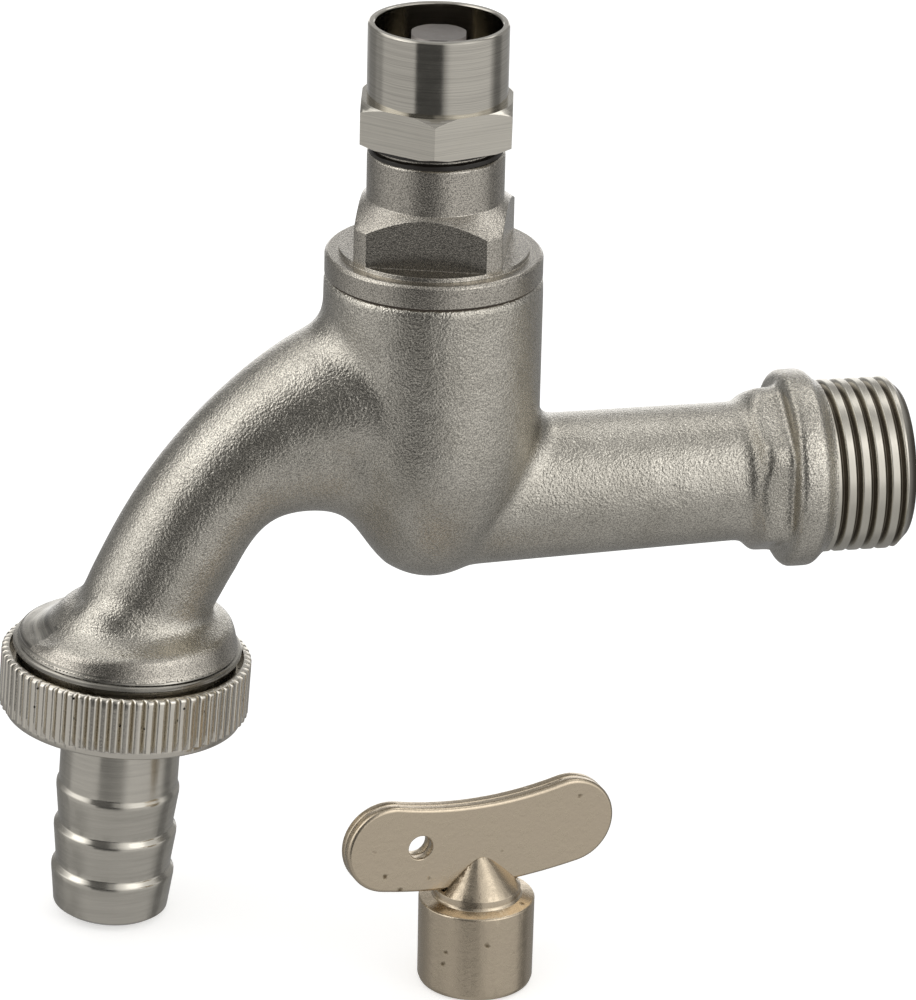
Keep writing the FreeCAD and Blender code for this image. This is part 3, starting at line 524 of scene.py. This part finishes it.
def circle(bm, place, steps, radius_at, height):
    """Ring of points round the place's Z axis. radius_at gives millimetres for an angle."""
    ring = []
    for i in range(steps):
        way = 2 * math.pi * i / steps
        radius = radius_at(way)
        spot = Vector((radius * math.cos(way), radius * math.sin(way), height)) * MM
        ring.append(bm.verts.new(place @ spot))
    return ring


def woven(bm, rings, name):
    """Joins rings of points with quads into a mesh."""
    for low, high in zip(rings, rings[1:]):
        for i in range(len(low)):
            j = (i + 1) % len(low)
            bm.faces.new((low[i], low[j], high[j], high[i]))
    bmesh.ops.recalc_face_normals(bm, faces=bm.faces)
    mesh = bpy.data.meshes.new(name)
    bm.to_mesh(mesh)
    bm.free()
    return mesh


def turned(outline, place, steps, name):
    """Mesh of an outline of (radius, height) points, in millimetres, turned about the place's Z axis."""
    bm = bmesh.new()
    rings = [circle(bm, place, steps, lambda way: radius, height) for radius, height in outline]
    return woven(bm, rings, name)


def modified(mesh, *steps):
    """The mesh after modifiers, each given as (kind, settings)."""
    obj = bpy.data.objects.new("work", mesh)
    bpy.context.scene.collection.objects.link(obj)
    for kind, settings in steps:
        modifier = obj.modifiers.new(kind.lower(), kind)
        for name, value in settings.items():
            setattr(modifier, name, value)
    seen = obj.evaluated_get(bpy.context.evaluated_depsgraph_get())
    result = bpy.data.meshes.new_from_object(seen)
    bpy.data.objects.remove(obj)
    return result


def skin(meshes, voxel, *passes):
    """One even skin over overlapping meshes, eased in passes of (rounds, share of easing at each spot)."""
    bm = bmesh.new()
    for mesh in meshes:
        bm.from_mesh(mesh)
    bmesh.ops.remove_doubles(bm, verts=bm.verts, dist=1e-7)
    rough = bpy.data.meshes.new("rough")
    bm.to_mesh(rough)
    bm.free()
    mesh = modified(rough, ("REMESH", dict(mode="VOXEL", voxel_size=voxel)))
    total = len(mesh.vertices)
    spots = np.empty(total * 3)
    mesh.vertices.foreach_get("co", spots)
    spots = spots.reshape(-1, 3)
    edges = np.empty(len(mesh.edges) * 2, np.int64)
    mesh.edges.foreach_get("vertices", edges)
    one, other = edges.reshape(-1, 2).T
    degree = np.bincount(one, minlength=total) + np.bincount(other, minlength=total)
    for rounds, share_at in passes:
        share = share_at(spots)[:, None] * 0.5
        for _ in range(rounds):
            sums = [np.bincount(one, spots[other, k], total) + np.bincount(other, spots[one, k], total)
                    for k in range(3)]
            spots += (np.stack(sums, axis=1) / degree[:, None] - spots) * share
    mesh.vertices.foreach_set("co", spots.ravel())
    mesh.update()
    return mesh


def trim(mesh, goes):
    """Deletes the faces whose centre the test names."""
    bm = bmesh.new()
    bm.from_mesh(mesh)
    gone = [face for face in bm.faces if goes(face.calc_center_median())]
    bmesh.ops.delete(bm, geom=gone, context="FACES")
    bm.to_mesh(mesh)
    bm.free()


def edged(node, width, sharp=30.0, segments=2):
    """Copy of a CAD node whose edges sharper than an angle are rounded, with flat faces kept flat."""
    bm = bmesh.new()
    bm.from_mesh(NODES[node].data)
    bmesh.ops.remove_doubles(bm, verts=bm.verts, dist=1e-7)
    bmesh.ops.dissolve_limit(bm, angle_limit=math.radians(0.4), verts=bm.verts, edges=bm.edges)
    mesh = bpy.data.meshes.new(node + "_edged")
    bm.to_mesh(mesh)
    bm.free()
    mesh.polygons.foreach_set("use_smooth", [True] * len(mesh.polygons))
    bevel = dict(width=width, segments=segments, limit_method="ANGLE", angle_limit=math.radians(sharp),
                 use_clamp_overlap=True, loop_slide=True, miter_outer="MITER_ARC")
    return modified(mesh, ("BEVEL", bevel), ("WEIGHTED_NORMAL", dict(mode="FACE_AREA", keep_sharp=False)))


def thread_ridge(turns):
    """Height of a rounded thread, 0 to 1, from the number of turns along it."""
    away = abs(2 * (turns - math.floor(turns)) - 1)
    return eased(away * 2.1 - 0.15)


def threaded(place, low, high, crest, depth, pitch, first, limit, steps, per_turn, name):
    """Mesh of a thread's skin about the place's Z axis, in metres.

    first is the height of a crest in front and limit the largest radius at a height. A turn is made of
    steps points round and per_turn points along.
    """
    bm = bmesh.new()
    rows = int(math.ceil((high - low) / pitch * per_turn))
    rings = []
    for row in range(rows + 1):
        height = low + (high - low) * row / rows
        ring = []
        for i in range(steps):
            way = i / steps
            radius = crest - depth * (1 - thread_ridge((height - first) / pitch - way))
            radius = min(radius, limit(height))
            turn = 2 * math.pi * way
            spot = Vector((radius * math.cos(turn), radius * math.sin(turn), height))
            ring.append(bm.verts.new(place @ spot))
        rings.append(ring)
    return woven(bm, rings, name)


def bare(way):
    """1 where the cutter left the flare low and smooth, behind on the left; 0 where it stayed as cast."""
    aside = abs((math.degrees(way) - CUT_WAY + 180) % 360 - 180)
    return eased((CUT_HALF - aside) / CUT_SOFT + 0.5)


class BIBTAP_OT_casting(bpy.types.Operator):
    """Skins the tap body as one eased casting and adds its machined outlet face"""
    bl_idname = "bibtap.casting"
    bl_label = "Casting"

    def execute(self, context):
        wanted = sizes("tap_casting")
        mesh = skin([NODES["tap_body"].data, self.flare()], wanted.voxel,
                    (wanted.easing, self.edge_easing), (wanted.worn_easing, self.corner_easing))
        trim(mesh, self.covered)
        self.cut_flare(mesh)
        self.raise_rim(mesh, wanted)
        piece("casting", mesh, "tap", ["tap_body"], BLASTED(), 60)
        self.mark_machined(mesh)
        outline = [(11.6, 1.9), (12.7, 1.95), (13.0, 1.98), (13.06, 1.86), (13.08, 1.5), (13.2, 1.3),
                   (13.55, 1.22), (13.7, 1.08), (13.7, 0.66), (13.56, 0.5), (13.2, 0.48), (13.2, -2.65),
                   (12.6, -3.25), (5.7, -3.25), (5.7, 1.9)]
        face = turned(outline, OUTLET, 160, "outlet_face")
        piece("outlet_face", face, "tap", [], FACED(), 24)
        return {"FINISHED"}

    def flare(self):
        """Mesh of the spout's foot on the nozzle: cast and high in front and right, cut low on the left."""
        cast = [(0, 8.0), (7.5, 8.0), (7.9, 6.7), (8.4, 5.6), (9.4, 4.75), (10.5, 4.4), (11.6, 4.15),
                (12.4, 3.7), (12.95, 2.05), (13.0, 1.0), (0, 1.0)]
        cut = [(0, 6.0), (7.0, 6.0), (7.4, 4.2), (8.2, 3.3), (9.4, 2.9), (10.6, 2.6), (11.8, 2.35),
               (12.7, 2.15), (13.0, 2.0), (13.0, 1.0), (0, 1.0)]
        steps = 96
        lean = 0.055
        bm = bmesh.new()
        rings = []
        for (wide, high), (thin, low) in zip(cast, cut):
            ring = []
            for i in range(steps):
                way = 2 * math.pi * i / steps
                share = bare(way)
                lift = lean * wide * math.cos(way) if 1.0 < high < 8.0 else 0.0
                radius = max(0.01, wide + (thin - wide) * share)
                height = high + lift * (1 - share) + (low - high) * share
                spot = Vector((radius * math.cos(way), radius * math.sin(way), height)) * MM
                ring.append(bm.verts.new(OUTLET @ spot))
            rings.append(ring)
        return woven(bm, rings, "flare")

    def edge_easing(self, spots):
        """Share of the easing at each spot: less on the collar, little on its face and the barrel's rim."""
        share = np.ones(len(spots))
        share[spots[:, 2] > RIM * MM] = 0.12
        share[spots[:, 0] > COLLAR * MM] = 0.35
        share[spots[:, 0] > COLLAR_FACE * MM] = 0.1
        return share

    def corner_easing(self, spots):
        """Share of the long easing: full in the corner under the spout, weak round the nozzle's neck."""
        aside = np.hypot(spots[:, 0] - CROTCH.x, spots[:, 2] - CROTCH.z) / MM
        share = np.clip((11.0 - aside) / 6.0, 0, 1)
        local = spots @ np.array(OUTLET_BACK.to_3x3()).T + np.array(OUTLET_BACK.translation)
        out = np.hypot(local[:, 0], local[:, 1]) / MM
        level = np.clip(1.6 - np.abs(local[:, 2] / MM - 5.6) / 2.4, 0, 1)
        neck = level * np.clip((11.5 - out) / 2.0, 0, 1)
        return np.maximum(share, neck * 0.12)

    def covered(self, spot):
        """Whether the pipe thread or the outlet's face stands for the casting here."""
        beyond = spot.x > 0.2 * MM
        below = spot.z < NOZZLE * MM and at_outlet(spot).z < 1.6
        return beyond or below

    def cut_flare(self, mesh):
        """Lowers the flare where the cutter went over it, to a face that falls outwards."""
        face, face_radius, fall = 3.4, 8.2, 0.27
        for vertex in mesh.vertices:
            spot = at_outlet(vertex.co)
            radius = spot.xy.length
            if vertex.co.z < NOZZLE * MM and FLARE_INNER < radius < FLARE_OUTER and spot.z < 9:
                over = spot.z - (face - (radius - face_radius) * fall)
                share = bare(math.atan2(spot.y, spot.x)) * eased((radius - FLARE_INNER) / 4.0)
                vertex.co -= OUTLET_UP * (max(0.0, over) * share * MM)

    def raise_rim(self, mesh, wanted):
        """Lifts the barrel's rim over the gasket until only its dark line is left."""
        low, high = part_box("bonnet_gasket")
        lift = high.z - low.z - wanted.gasket_line
        for vertex in mesh.vertices:
            vertex.co.z += lift * eased((vertex.co.z / MM - RIM_FOOT) / 1.2)

    def mark_machined(self, mesh):
        """Faced metal where the flare was cut smooth, and the block's finish on its outer edge."""
        mesh.materials.append(FACED())
        mesh.materials.append(BLOCK())
        faced, edge = 1, 2
        for polygon in mesh.polygons:
            spot = at_outlet(polygon.center)
            radius = spot.xy.length
            if polygon.center.z >= NOZZLE * MM:
                continue
            if spot.z < 4.6 and 9.4 < radius < FLARE_OUTER and bare(math.atan2(spot.y, spot.x)) > 0.6:
                polygon.material_index = faced
            elif radius > 12.0 and spot.z < 3.9:
                polygon.material_index = edge


class BIBTAP_OT_inlet_thread(bpy.types.Operator):
    """Cuts the pipe thread on the inlet, with its bevelled end and the start of its bore"""
    bl_idname = "bibtap.inlet_thread"
    bl_label = "Inlet thread"

    def execute(self, context):
        wanted = sizes("tap_thread")
        end = CAD_BOX[1].x

        def limit(height):
            return wanted.radius - max(0.0, height - (end - wanted.bevel)) * 0.95

        mesh = threaded(INLET, -0.3 * MM, end, wanted.radius, wanted.depth, wanted.pitch,
                        wanted.first_crest, limit, 160, 26, "inlet_thread")
        outline = [(9.25, end / MM), (7.3, end / MM), (6.2, end / MM - 0.9), (6.2, -3.0)]
        mouth = turned(outline, INLET, 128, "inlet_mouth")
        piece("inlet_thread", mesh, "tap", [], THREADED(), 50)
        piece("inlet_mouth", mouth, "tap", [], THREADED(), 24)
        return {"FINISHED"}


class BIBTAP_OT_headwork(bpy.types.Operator):
    """Rounds the edges of bonnet and sleeve nut and cuts the fine thread between them"""
    bl_idname = "bibtap.headwork"
    bl_label = "Headwork"

    def execute(self, context):
        edges = sizes("tap_edges")
        wanted = sizes("tap_thread")
        piece("bonnet_skin", edged("bonnet", edges.bonnet), "tap", ["bonnet"], BLOCK(), 180)
        fine = threaded(HEAD, wanted.fine_low, wanted.fine_high, wanted.fine_radius, wanted.fine_depth,
                        wanted.fine_pitch, wanted.fine_crest, lambda height: wanted.fine_radius,
                        96, 14, "neck_thread")
        # The fine thread is painted dark as the shade in the gap under the sleeve nut.
        piece("neck_thread", fine, "tap", [], NECK_GAP_SHADED(), 50)
        nut = piece("sleeve_nut_edged", edged("sleeve_nut", edges.sleeve_nut), "tap", ["sleeve_nut"],
                    TURNED(), 180)
        self.brush_flats(nut.data)
        # The spindle's end gets painted shade: a dark grey for its place deep in the sleeve.
        finish(NODES["spindle"], SHADED_SPINDLE())
        return {"FINISHED"}

    def brush_flats(self, mesh):
        """Gives the hexagon's six flats, the large upright faces low on the nut, their own finish."""
        hexagon_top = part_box("sleeve_nut")[0].z + 12 * MM
        mesh.materials.append(BRUSHED())
        for face in mesh.polygons:
            flat = abs(face.normal.z) < 0.1 and face.area > 8 * MM * MM
            if flat and face.center.z < hexagon_top:
                face.material_index = 1


class BIBTAP_OT_union(bpy.types.Operator):
    """Cuts the union nut's flutes, rounds the hose tail and finishes the washer between"""
    bl_idname = "bibtap.union"
    bl_label = "Union"

    def execute(self, context):
        edges = sizes("tap_edges")
        piece("fluted_nut", self.nut(), "nut", ["union_nut"], TUMBLED(), 50)
        tail = edged("hose_tail", edges.hose_tail, 12.0, 3)
        piece("hose_tail_edged", tail, "tail", ["hose_tail"], POLISHED(), 180)
        finish(NODES["union_washer"], RUBBER())
        return {"FINISHED"}

    def nut(self):
        """Mesh of the nut, whose ridges start round under the top and end square above a plain rim."""
        wanted = sizes("tap_union")
        crest, bore = wanted.radius / MM, wanted.bore / MM
        high, hole = wanted.height / MM, wanted.tail_hole / MM
        valley = crest - wanted.flute_depth / MM
        start, end = wanted.flute_start / MM, high - wanted.flute_end / MM

        def flute(rise):
            def radius_at(way):
                ridge = 1 - (1 - abs(math.sin(wanted.flutes * way / 2))) ** 2.4
                return valley + (crest - valley) * ridge * rise
            return radius_at

        def plain(radius):
            return lambda way: radius

        stations = [(plain(bore), 2.5), (plain(valley - 0.55), 2.45), (plain(valley - 0.45), 0.3),
                    (plain(valley - 0.3), 0.0)]
        for depth in (0.0, 0.08, 0.2, 0.34, start, 1.2, 2.6, 4.0, 5.4, end - 0.25, end - 0.1, end):
            top = math.sqrt(max(0.0, 1 - (1 - min(1.0, depth / start)) ** 2))
            foot = min(1.0, (end - depth) / 0.25)
            stations.append((flute(top * foot), depth))
        stations += [(plain(valley), high - 0.35), (plain(valley - 0.12), high - 0.1),
                     (plain(valley - 0.4), high), (plain(hole), high), (plain(hole), high - 1.2),
                     (plain(bore), high - 1.2), (plain(bore), 2.6)]
        bm = bmesh.new()
        rings = [circle(bm, OUTLET, wanted.flutes * 12, radius_at, -depth) for radius_at, depth in stations]
        return woven(bm, rings, "fluted_nut")


class BIBTAP_OT_inner_parts(bpy.types.Operator):
    """Finishes the parts inside the tap: valve, packing, gasket and washers"""
    bl_idname = "bibtap.inner_parts"
    bl_label = "Inner parts"

    def execute(self, context):
        for node in ("jumper", "valve_nut", "packing_washer", "gland_follower"):
            finish(NODES[node], BRASS())
        for node in ("packing_ring_lower", "packing_ring_upper"):
            finish(NODES[node], PACKING())
        finish(NODES["valve_washer"], RUBBER())
        finish(NODES["bonnet_gasket"], FIBRE())
        return {"FINISHED"}


class BIBTAP_OT_key(bpy.types.Operator):
    """Rounds the loose key's edges and gives it its nickel"""
    bl_idname = "bibtap.key"
    bl_label = "Key"

    def execute(self, context):
        edges = sizes("tap_edges")
        for node, width, slot in (("key_socket", edges.key_socket, "key_nickel"),
                                  ("key_plate_front", edges.key_plate, "key_plate"),
                                  ("key_plate_back", edges.key_plate, "key_plate")):
            piece(node + "_edged", edged(node, width), "key", [node], KEY(), 180)
        return {"FINISHED"}


# Middle of the stage, and the lamps: name, turn and rise of the way to it in degrees, width and height in
# metres, brightness. A turn of 0 is towards -Y and 90 towards +X.
MIDDLE = Vector((-0.045, 0, 0))
LAMP_REACH = 1.2
LAMPS = (
    ("left_box", -88, 42, 0.5, 0.5, 0.8),
    ("right_box", 42, 38, 0.5, 0.5, 0.7),
    ("back_box", 130, 55, 0.6, 0.6, 0.5),
)

# Walls of the tent, each painted over those before it: turn from, turn to, rise from, rise to and softness
# of the edge in degrees, then brightness.
TENT_REACH = 2.2
TENT_PLAIN = 0.36
TENT = (
    (-180, 180, -100, -18, 14, 0.28),
    (-75, 80, -100, -18, 30, 0.44),
    (-113, -38, -30, -2, 10, 0.52),
    (-117, -38, -8, 60, 10, 0.76),
    (-106, -68, 4, 50, 18, 1.4),
    (-152, -70, 36, 66, 14, 1.3),
    (4, 84, -30, -2, 10, 0.62),
    (2, 86, -8, 72, 10, 0.8),
    (14, 62, -4, 56, 18, 1.2),
    (-180, 180, 70, 100, 10, 0.44),
    (103, 145, 38, 66, 10, 1.3),
    (166, 208, 42, 68, 10, 1.3),
    (148, 188, -14, 16, 8, 1.4),
    (-48, -3, -24, 2, 5, 0.07),
    (-59, -15, -4, 62, 6, 0.11),
    (-160, -132, -50, 34, 8, 0.24),
    (92, 112, -50, 38, 8, 0.17),
)


def tent_glow(turn, rise):
    """Brightness of the tent towards a turn and a rise."""
    glow = TENT_PLAIN
    for start, stop, low, high, soft, wall in TENT:
        middle, half = (start + stop) / 2, (stop - start) / 2
        aside = abs((turn - middle + 180) % 360 - 180)
        level = abs(rise - (low + high) / 2)
        share = eased((half - aside) / soft + 0.5) * eased(((high - low) / 2 - level) / soft + 0.5)
        glow += (wall - glow) * share
    return glow


def stand(name, mesh):
    """Stage object, which is no part of the tap."""
    obj = bpy.data.objects.new(name, mesh)
    bpy.context.scene.collection.objects.link(obj)
    return obj


class BIBTAP_OT_stage(bpy.types.Operator):
    """Sets the floor, lamps, white surroundings and camera"""
    bl_idname = "bibtap.stage"
    bl_label = "Stage"

    def execute(self, context):
        wanted = sizes("tap_stage")
        context.scene.view_settings.view_transform = "Standard"
        self.floor(wanted)
        self.surroundings(context.scene, wanted)
        self.tent()
        self.lamps()
        self.camera(context.scene, wanted)
        return {"FINISHED"}

    def floor(self, wanted):
        """Matt pale floor with a little glow that only the camera sees."""
        level = CAD_BOX[0].z / MM - 0.05
        mesh = turned([(0.001, level), (300, level), (3000, level)], Matrix.Identity(4), 64, "floor")
        floor = stand("floor", mesh)
        material, tree, shader, _ = new_material("pale_floor")
        path = add(tree, "ShaderNodeLightPath")
        glow = add(tree, "ShaderNodeMath", {0: path.outputs["Is Camera Ray"], 1: wanted.floor_glow},
                   operation="MULTIPLY")
        shader.inputs["Base Color"].default_value = linear(wanted.floor)
        shader.inputs["Roughness"].default_value = 0.9
        shader.inputs["Specular IOR Level"].default_value = 0.0
        shader.inputs["Emission Color"].default_value = (1, 1, 1, 1)
        tree.links.new(glow.outputs["Value"], shader.inputs["Emission Strength"])
        mesh.materials.append(material)
        floor.visible_glossy = False

    def surroundings(self, scene, wanted):
        """World that is white where the camera or a mirror sees it, and a softer even light elsewhere."""
        world = bpy.data.worlds.new("studio")
        scene.world = world
        world.use_nodes = True
        tree = world.node_tree
        tree.nodes.clear()
        path = add(tree, "ShaderNodeLightPath")
        seen = add(tree, "ShaderNodeMath",
                   {0: path.outputs["Is Camera Ray"], 1: path.outputs["Is Glossy Ray"]}, operation="MAXIMUM")
        clear = add(tree, "ShaderNodeMath",
                    {0: seen.outputs["Value"], 1: path.outputs["Is Transmission Ray"]}, operation="MAXIMUM")
        power = add(tree, "ShaderNodeMapRange",
                    {"Value": clear.outputs["Value"], "To Min": wanted.world_glow, "To Max": 1.0})
        shine = add(tree, "ShaderNodeBackground",
                    {"Color": (1, 1, 1, 1), "Strength": power.outputs["Result"]})
        add(tree, "ShaderNodeOutputWorld", {"Surface": shine.outputs["Background"]})

    def tent(self):
        """Light tent that only reflections see: lit walls left, right and behind, a dark slit in front."""
        steps, rows = 180, 90
        outline = []
        for row in range(rows + 1):
            rise = math.radians(-90 + 180 * (row + 0.001) / (rows + 0.002))
            outline.append((TENT_REACH / MM * math.cos(rise), TENT_REACH / MM * math.sin(rise)))
        mesh = turned(outline, Matrix.Translation(MIDDLE), steps, "tent")
        glow = mesh.attributes.new("glow", "FLOAT", "POINT")
        for vertex in mesh.vertices:
            way = (vertex.co - MIDDLE).normalized()
            turn = math.degrees(math.atan2(way.x, -way.y))
            glow.data[vertex.index].value = tent_glow(turn, math.degrees(math.asin(way.z)))
        material = bpy.data.materials.new("tent_cloth")
        material.use_nodes = True
        tree = material.node_tree
        tree.nodes.clear()
        painted = add(tree, "ShaderNodeAttribute", attribute_name="glow")
        shine = add(tree, "ShaderNodeEmission", {"Strength": painted.outputs["Fac"]})
        add(tree, "ShaderNodeOutputMaterial", {"Surface": shine.outputs["Emission"]})
        material.cycles.emission_sampling = "NONE"
        mesh.materials.append(material)
        tent = stand("tent", mesh)
        for kind in ("camera", "diffuse", "shadow", "transmission", "volume_scatter"):
            setattr(tent, "visible_" + kind, False)

    def lamps(self):
        """Soft boxes that stand outside the view and face its middle."""
        for name, turn, rise, wide, high, glow in LAMPS:
            turn, rise = math.radians(turn), math.radians(rise)
            way = Vector((math.sin(turn) * math.cos(rise), -math.cos(turn) * math.cos(rise), math.sin(rise)))
            data = bpy.data.lights.new(name, "AREA")
            data.shape = "RECTANGLE"
            data.size, data.size_y = wide, high
            data.energy = glow * math.pi * wide * high
            lamp = bpy.data.objects.new(name, data)
            lamp.location = MIDDLE + way * LAMP_REACH
            lamp.rotation_euler = way.to_track_quat("Z", "Y").to_euler()
            bpy.context.scene.collection.objects.link(lamp)
            lamp.visible_camera = False

    def camera(self, scene, wanted):
        """Long lens from the front left, a little above the tap."""
        turn, rise, roll = wanted.azimuth, wanted.elevation, wanted.roll
        back = Vector((math.sin(turn) * math.cos(rise), -math.cos(turn) * math.cos(rise), math.sin(rise)))
        right = Vector((math.cos(turn), math.sin(turn), 0))
        up = back.cross(right)
        side = right * math.cos(roll) + up * math.sin(roll)
        top = up * math.cos(roll) - right * math.sin(roll)
        data = bpy.data.cameras.new("camera")
        data.lens = wanted.lens
        data.sensor_width = 36.0
        data.sensor_fit = "HORIZONTAL"
        data.clip_start = 0.01
        camera = bpy.data.objects.new("camera", data)
        spin = Matrix((side, top, back)).transposed().to_4x4()
        camera.matrix_world = Matrix.Translation(Vector(wanted.target) + back * wanted.distance) @ spin
        scene.collection.objects.link(camera)
        scene.camera = camera


GROUPS = (
    ("tap_casting", CastingSizes),
    ("tap_thread", ThreadSizes),
    ("tap_union", UnionSizes),
    ("tap_edges", EdgeSizes),
    ("tap_finishes", Finishes),
    ("tap_stage", StageSizes),
)
OPERATORS = (
    BIBTAP_OT_casting,
    BIBTAP_OT_inlet_thread,
    BIBTAP_OT_headwork,
    BIBTAP_OT_union,
    BIBTAP_OT_inner_parts,
    BIBTAP_OT_key,
    BIBTAP_OT_stage,
)


class BIBTAP_PT_panel(bpy.types.Panel):
    """Lists the tap's pieces and their sizes"""
    bl_label = "Bib Tap"
    bl_idname = "BIBTAP_PT_panel"
    bl_space_type = "VIEW_3D"
    bl_region_type = "UI"
    bl_category = "Bib Tap"

    def draw(self, context):
        for name, group in GROUPS:
            box = self.layout.box()
            for prop in group.__annotations__:
                box.prop(getattr(context.scene, name), prop)
        for operator in OPERATORS:
            self.layout.operator(operator.bl_idname)


CLASSES = tuple(group for name, group in GROUPS) + OPERATORS + (BIBTAP_PT_panel,)


def register():
    for item in CLASSES:
        bpy.utils.register_class(item)
    for name, group in GROUPS:
        setattr(bpy.types.Scene, name, PointerProperty(type=group))


def unregister():
    for name, group in GROUPS:
        delattr(bpy.types.Scene, name)
    for item in reversed(CLASSES):
        bpy.utils.unregister_class(item)


def main():
    register()
    for operator in OPERATORS:
        group, name = operator.bl_idname.split(".")
        getattr(getattr(bpy.ops, group), name)()


if __name__ == "__main__":
    main()
